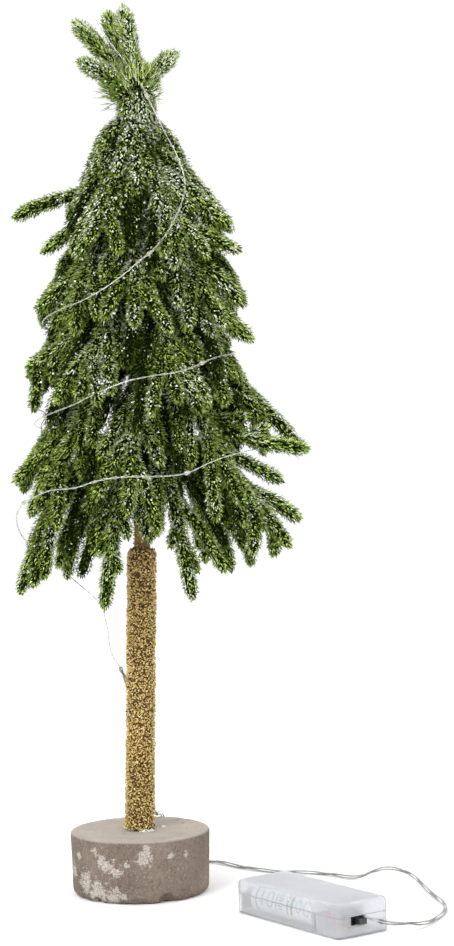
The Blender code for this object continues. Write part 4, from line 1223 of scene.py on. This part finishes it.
def chip_shape(seed):
    """An angular cork chip about one across."""
    clear_selection()
    bpy.ops.mesh.primitive_ico_sphere_add(subdivisions=1, radius=0.5, location=(0.0, 0.0, 0.0))
    obj = bpy.context.object
    bpy.ops.object.mode_set(mode="EDIT")
    bpy.ops.mesh.select_all(action="SELECT")
    bpy.ops.transform.resize(value=(1.0, 0.8, 0.55))
    bpy.ops.object.mode_set(mode="OBJECT")
    rng = np.random.default_rng(seed)
    for vertex in obj.data.vertices:
        vertex.co *= rng.uniform(0.72, 1.22)
    return triangles_of(obj)


def grain_shape():
    """A small cork grain about one across, with few faces."""
    clear_selection()
    bpy.ops.mesh.primitive_cone_add(
        vertices=5, radius1=0.5, radius2=0.0, depth=0.55, location=(0.0, 0.0, 0.1))
    obj = bpy.context.object
    bpy.ops.object.transform_apply(location=True, rotation=True, scale=True)
    bpy.ops.object.mode_set(mode="EDIT")
    bpy.ops.mesh.select_all(action="SELECT")
    bpy.ops.transform.resize(value=(1.25, 0.75, 1.0))
    bpy.ops.object.mode_set(mode="OBJECT")
    return triangles_of(obj)


def make_bark():
    """A dark core, painted shade for the gaps between the chips, cork chips stuck over it, and stray
    grains up the bare dowel.
    """
    rng = np.random.default_rng(600)
    line = rod_line("trunk_bark", 120)
    travelled = distances_along(line)
    _, side, other = carried_frames(line)
    core_points, core_faces = tube_mesh(line, BARK_RADIUS - 0.0010, 40)
    # Painted shade: the core's dark tone is what shows in the gaps between the chips.
    core_uv = np.full((core_faces.size, 2), 0.05)
    core_uv[:, 0] += np.tile((0.0, UV_SLIT, UV_SLIT), len(core_faces))
    core_uv[:, 1] = np.tile((0.3, 0.3, 0.36), len(core_faces))
    parts, maps = [(core_points, core_faces)], [core_uv]
    layers = (
        (chip_shape(610), 3500, -0.0005, 0.0010, 0.0017, 0.36, 0.20),
        (chip_shape(611), 3000, -0.0001, 0.0007, 0.0013, 0.64, 0.20),
        (grain_shape(), 6000, 0.0004, 0.0005, 0.0012, 0.74, 0.24),
    )
    for shape, count, out, least, most, tone, spread in layers:
        place = rng.random(count) * travelled[-1]
        angle = rng.random(count) * 2 * math.pi
        middle = at_distance(line, travelled, place)
        radial = (at_distance(side, travelled, place) * np.cos(angle)[:, None]
                  + at_distance(other, travelled, place) * np.sin(angle)[:, None])
        swell = np.array([noise.noise(Vector(point + way * 0.006) * 160.0)
                          for point, way in zip(middle, radial)])
        foot = np.clip(1.0 - place / 0.02, 0.0, 1.0) * 0.0005
        head = np.clip(1.0 - (travelled[-1] - place) / 0.0045, 0.0, 1.0) ** 2
        far = BARK_RADIUS + out + 0.0005 * swell + foot + rng.uniform(-0.0002, 0.0002, count)
        far -= head * rng.uniform(0.0006, 0.0026, count)
        places = middle + radial * far[:, None]
        tones = rng.normal(tone, spread, count)
        tones = np.where(rng.random(count) < 0.06, 0.02, np.clip(tones, 0.08, 0.98))
        points, faces, uv = stamped_lumps(
            shape, places, rng.uniform(least, most, count), rng, tones)
        parts.append((points, faces))
        maps.append(uv)
    stick = rod_line("trunk_dowel", 120)
    climbed = distances_along(stick)
    start = climbed[int(np.argmin(np.linalg.norm(stick - line[-1], axis=1)))]
    above = start + (climbed[-1] - start) * rng.random(STICK_GRAINS) ** 2.0
    angle = rng.random(STICK_GRAINS) * 2 * math.pi
    _, side, other = carried_frames(stick)
    radial = (at_distance(side, climbed, above) * np.cos(angle)[:, None]
              + at_distance(other, climbed, above) * np.sin(angle)[:, None])
    far = rng.uniform(*STICK_RADII, STICK_GRAINS)
    places = at_distance(stick, climbed, above) + radial * far[:, None]
    points, faces, uv = stamped_lumps(
        grain_shape(), places, rng.uniform(0.0005, 0.0012, STICK_GRAINS), rng,
        np.clip(rng.normal(0.55, 0.24, STICK_GRAINS), 0.08, 0.98))
    parts.append((points, faces))
    maps.append(uv)
    points, faces = joined(parts)
    obj = piece("bark_chips", points, faces, CORK_CHIPS, np.vstack(maps))
    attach(obj, "tree")
    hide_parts("trunk_bark")


BASE_TAPER = 0.0008
BASE_RIM_ROUND = 0.0013
BASE_FOOT_ROUND = 0.0032
BASE_VOXEL = 0.00048
SOCKET_RADIUS = 0.0043
# Chips out of the foot: where round the block, how high and how large
FOOT_CHIPS = (
    (-66.0, 0.0010, 0.0045), (-60.0, -0.0008, 0.0040), (-128.0, 0.0, 0.0034), (40.0, 0.0, 0.0042))


def select_rim(obj, height):
    """In edit mode, the edges that lie at one height are selected and no others."""
    bpy.ops.mesh.select_all(action="DESELECT")
    bpy.ops.object.mode_set(mode="OBJECT")
    points = obj.data.vertices
    for edge in obj.data.edges:
        edge.select = all(abs(points[vertex].co.z - height) < 1e-5 for vertex in edge.vertices)
    bpy.ops.object.mode_set(mode="EDIT")


def cut_away(obj, cutter):
    """Cuts the cutter's shape out of the piece, and removes the cutter."""
    step = obj.modifiers.new("cut", "BOOLEAN")
    step.operation = "DIFFERENCE"
    step.object = cutter
    step.solver = "EXACT"
    apply_modifiers(obj)
    bpy.data.objects.remove(cutter)


def apply_modifiers(obj):
    clear_selection()
    obj.select_set(True)
    bpy.context.view_layer.objects.active = obj
    for modifier in list(obj.modifiers):
        bpy.ops.object.modifier_apply(modifier=modifier.name)


def make_base():
    """The cast block: tapered, rounded, chipped at the foot and pitted all over."""
    _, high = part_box("concrete_base")
    radius, height = high.x, high.z
    clear_selection()
    bpy.ops.mesh.primitive_cone_add(
        vertices=160, radius1=radius - BASE_TAPER, radius2=radius, depth=height,
        location=(0.0, 0.0, height / 2))
    base = bpy.context.object
    bpy.ops.object.transform_apply(location=True, rotation=True, scale=True)
    bpy.ops.object.mode_set(mode="EDIT")
    bpy.ops.mesh.select_mode(type="EDGE")
    for level, size in ((height, BASE_RIM_ROUND), (0.0, BASE_FOOT_ROUND)):
        select_rim(base, level)
        bpy.ops.mesh.bevel(offset=size, segments=5, profile=0.5, affect="EDGES")
    bpy.ops.object.mode_set(mode="OBJECT")
    for degrees, up, size in FOOT_CHIPS:
        angle = math.radians(degrees)
        clear_selection()
        bpy.ops.mesh.primitive_ico_sphere_add(
            subdivisions=2, radius=size,
            location=((radius - BASE_TAPER) * math.cos(angle),
                      (radius - BASE_TAPER) * math.sin(angle), up))
        cut_away(base, bpy.context.object)
    line = rod_line("trunk_dowel", 2)
    axis = Vector(line[1] - line[0]).normalized()
    clear_selection()
    bpy.ops.mesh.primitive_cylinder_add(
        vertices=32, radius=SOCKET_RADIUS, depth=0.06,
        location=Vector(line[0]) + axis * 0.0297,
        rotation=axis.to_track_quat("Z", "Y").to_euler())
    cut_away(base, bpy.context.object)
    remesh = base.modifiers.new("grain", "REMESH")
    remesh.mode = "VOXEL"
    remesh.voxel_size = BASE_VOXEL
    apply_modifiers(base)
    mesh = base.data
    points = np.zeros(len(mesh.vertices) * 3, np.float32)
    mesh.vertices.foreach_get("co", points)
    points = points.reshape(-1, 3).astype(float)
    normals = np.array([normal.vector for normal in mesh.vertex_normals])
    rng = np.random.default_rng(700)
    depth = np.array([
        0.00018 * noise.fractal(Vector(point) * 90.0, 1.0, 2.0, 4)
        + 0.00010 * noise.noise(Vector(point) * 700.0)
        - 0.0011 * max(0.0, noise.noise(Vector(point) * 260.0)) * max(0.0, 1.0 - point[2] / 0.004)
        for point in points])
    picked = points[rng.integers(0, len(points), BASE_PORES)]
    pore_sizes = 0.00035 + 0.0009 * rng.random(BASE_PORES) ** 3
    for pore, size in zip(picked, pore_sizes):
        gap = np.linalg.norm(points - pore, axis=1) / size
        depth -= np.where(gap < 1.0, 0.7 * size * (1.0 - gap ** 2), 0.0)
    on_floor = points[:, 2] < 0.0004
    depth = np.where(on_floor, np.minimum(depth, 0.0), depth)
    points += normals * depth[:, None]
    points[:, 2] = np.clip(points[:, 2], 0.0, height + 0.0004)
    mesh.vertices.foreach_set("co", points.astype(np.float32).ravel())
    mesh.update()
    mesh.shade_smooth()
    mesh.materials.clear()
    mesh.materials.append(CONCRETE)
    base.name = mesh.name = "cast_base"
    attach(base, "tree")
    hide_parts("concrete_base")


# ---------------------------------------------------------------- string, lead and sleeve


def box_point(across, along, up):
    """A place in the battery box as one in the frame."""
    return Matrix.Rotation(BOX_TURN, 3, "Z") @ Vector((across, along, up)) + Vector(BOX_PLACE)


def make_string():
    """Two lacquered wires that cross and part, with a resin drop over each light."""
    line = resampled(smooth_route([*STRING_ROUTE, SLEEVE_TOP]), 0.0012)
    travelled = distances_along(line)
    _, side, other = carried_frames(line)
    turn = travelled / WIRE_LAY * 2 * math.pi + 1.4 * np.sin(travelled / (3 * WIRE_LAY))
    beads = np.arange(BEAD_SPACING / 2, travelled[-1] - BEAD_SPACING / 2, BEAD_SPACING)
    nearest = np.abs(travelled[:, None] - beads[None]).min(axis=1)
    near_light = np.clip(nearest / 0.006, 0.0, 1.0)
    spread = WIRE_GAP + WIRE_GAP_CHANGE * np.sin(travelled / 0.017) * near_light
    parts = []
    for start in (0.0, math.pi):
        offset = side * np.cos(turn + start)[:, None] + other * np.sin(turn + start)[:, None]
        parts.append(tube_mesh(line + offset * spread[:, None], WIRE_RADIUS, 6))
    points, faces = joined(parts)
    string = piece("fairy_wire_pair", points, faces, FAIRY_WIRE, smooth=True)
    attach(string, "tree")
    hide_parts("light_string")
    drops, chips = [], []
    for bead in beads:
        around = np.linspace(-DROP_REACH, DROP_REACH, 11)
        axis = at_distance(line, travelled, bead + around)
        belly = DROP_RADIUS * np.sqrt(np.clip(1.0 - (around / 0.0020) ** 2, 0.02, 1.0))
        drops.append(tube_mesh(axis, belly, 12))
        chips.append(tube_mesh(axis[4:7], LIGHT_RADIUS, 4))
    points, faces = joined(drops)
    resin = piece("light_drops", points, faces, CLEAR_RESIN, smooth=True)
    points, faces = joined(chips)
    lights = piece("light_chips", points, faces, LIGHT_CHIP)
    for obj in (resin, lights):
        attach(obj, "tree")


def twin_section(line, half_gap, radius, lay_length):
    """Two round cores lying side by side along a line, which twist slowly."""
    _, side, other = carried_frames(line)
    turn = distances_along(line) / lay_length * 2 * math.pi
    way = side * np.cos(turn)[:, None] + other * np.sin(turn)[:, None]
    return [tube_mesh(line + way * half_gap * sign, radius, 6) for sign in (-1.0, 1.0)]


def make_lead():
    """The clear lead with its two conductors, and the shrink sleeve over its splice."""
    foot = Vector(SLEEVE_FOOT)
    top = Vector(SLEEVE_TOP)
    first = foot + (Vector(LEAD_ROUTE[0]) - foot).normalized() * 0.0003
    mouth = box_point(LEAD_HOLE[0], -LEAD_STRAIGHT, LEAD_HOLE[1])
    tail = box_point(LEAD_HOLE[0], LEAD_TAIL, LEAD_HOLE[1])
    line = resampled(smooth_route([first, *LEAD_ROUTE, mouth, tail]), 0.0015)
    points, faces = tube_mesh(line, LEAD_DIAMETER / 2, 12)
    lead = piece("clear_lead", points, faces, CLEAR_PVC, smooth=True)
    points, faces = joined(twin_section(line[1:-1], *LEAD_CONDUCTORS))
    wires = piece("lead_conductors", points, faces, CONDUCTOR, smooth=True)
    for obj in (lead, wires):
        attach(obj, "tree")
    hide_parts("lead_cord")
    axis = resampled(np.array([top, foot]), 0.0005)
    share = np.linspace(0.0, 1.0, len(axis))
    ends = np.clip(np.minimum(share, 1.0 - share) / 0.12, 0.0, 1.0)
    radii = SLEEVE_END_RADIUS + (SLEEVE_RADIUS - SLEEVE_END_RADIUS) * np.sqrt(ends)
    points, faces = tube_mesh(axis, radii, 20)
    sleeve = piece("splice_sleeve", points, faces, SLEEVE_PVC, smooth=True)
    points, faces = joined(twin_section(axis[2:-2], *SPLICE_CONDUCTORS))
    splice = piece("splice_wires", points, faces, CONDUCTOR, smooth=True)
    for obj in (sleeve, splice):
        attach(obj, "tree")
    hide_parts("lead_sleeve")


# ---------------------------------------------------------------- carried-over parts


def finish_carried():
    """Every CAD part that shows as it is gets its own finish."""
    finishes = {
        "trunk_dowel": WOOD, "stem_rod": STEEL, "neck_binding": BINDING,
        "box_tray": TRAY_PLASTIC, "box_cover": COVER_PLASTIC,
        "switch_body": BLACK_PLASTIC, "switch_knob": BLACK_PLASTIC,
        "cell_front": cell_finish("cell_jacket_front", CELL_ACROSS[0], CELL_ENDS[0], 1.0),
        "cell_rear": cell_finish("cell_jacket_rear", CELL_ACROSS[1], CELL_ENDS[1], -1.0),
        "link_plate": NICKEL, "positive_plate": NICKEL, "negative_plate": NICKEL,
        "link_spring": NICKEL, "negative_spring": NICKEL, "series_resistor": RESISTOR,
        "positive_wire": RED_INSULATION, "negative_wire": BLACK_PLASTIC,
    }
    for name, finish in finishes.items():
        mesh = NODES[name].data
        mesh.materials.clear()
        mesh.materials.append(finish)


# ---------------------------------------------------------------- studio


def make_camera():
    """The camera looks a little down at the tree and leans by its roll."""
    data = bpy.data.cameras.new("camera")
    data.lens = CAMERA_LENS
    data.sensor_width = CAMERA_SENSOR
    camera = bpy.data.objects.new("camera", data)
    bpy.context.scene.collection.objects.link(camera)
    ahead = Vector((0.0, math.cos(CAMERA_PITCH), -math.sin(CAMERA_PITCH)))
    right = Vector((1.0, 0.0, 0.0))
    up = Vector((0.0, math.sin(CAMERA_PITCH), math.cos(CAMERA_PITCH)))
    rolled_right = right * math.cos(CAMERA_ROLL) + up * math.sin(CAMERA_ROLL)
    rolled_up = up * math.cos(CAMERA_ROLL) - right * math.sin(CAMERA_ROLL)
    turn = Matrix((rolled_right, rolled_up, -ahead)).transposed().to_4x4()
    camera.matrix_world = Matrix.Translation(CAMERA_PLACE) @ turn
    bpy.context.scene.camera = camera


def area_light(name, place, target, size, power):
    data = bpy.data.lights.new(name, "AREA")
    data.shape = "SQUARE"
    data.size = size
    data.energy = power
    obj = bpy.data.objects.new(name, data)
    bpy.context.scene.collection.objects.link(obj)
    obj.location = place
    way = Vector(target) - Vector(place)
    obj.rotation_mode = "QUATERNION"
    obj.rotation_quaternion = way.to_track_quat("-Z", "Y")


def make_studio():
    """A plain pale floor, a white room and three soft lights."""
    clear_selection()
    bpy.ops.mesh.primitive_plane_add(size=12.0, location=(0.0, 0.0, -0.0001))
    floor = bpy.context.object
    floor.name = "floor"
    paper = Finish("floor_paper")
    paper.to("Base Color", paper.ramp(
        paper.noise(3.0, 3.0), (0.3, (0.925, 0.925, 0.925)), (0.7, (0.935, 0.935, 0.935))))
    paper.set(Roughness=0.9, Specular_IOR_Level=0.1)
    floor.data.materials.append(paper.material)
    world = bpy.data.worlds.new("studio")
    world.use_nodes = True
    world.node_tree.nodes["Background"].inputs["Color"].default_value = (1.0, 1.0, 1.0, 1.0)
    world.node_tree.nodes["Background"].inputs["Strength"].default_value = 1.08
    bpy.context.scene.world = world
    centre = (0.03, 0.0, 0.2)
    area_light("key", (-0.9, -1.3, 1.5), centre, 0.9, 20.0)
    area_light("fill", (1.3, -1.0, 0.9), centre, 1.2, 5.0)
    area_light("top", (0.0, 0.3, 1.9), centre, 1.4, 8.0)
    bpy.context.scene.view_settings.view_transform = "Standard"


make_camera()
make_string()
make_lead()
make_base()
make_bark()
frost_places = make_canopy()
frost_places += make_neck_tufts()
frost_places += make_fanned_shoots()
make_stem_pile()
make_twiglets()
make_frost(frost_places)
finish_carried()
make_studio()
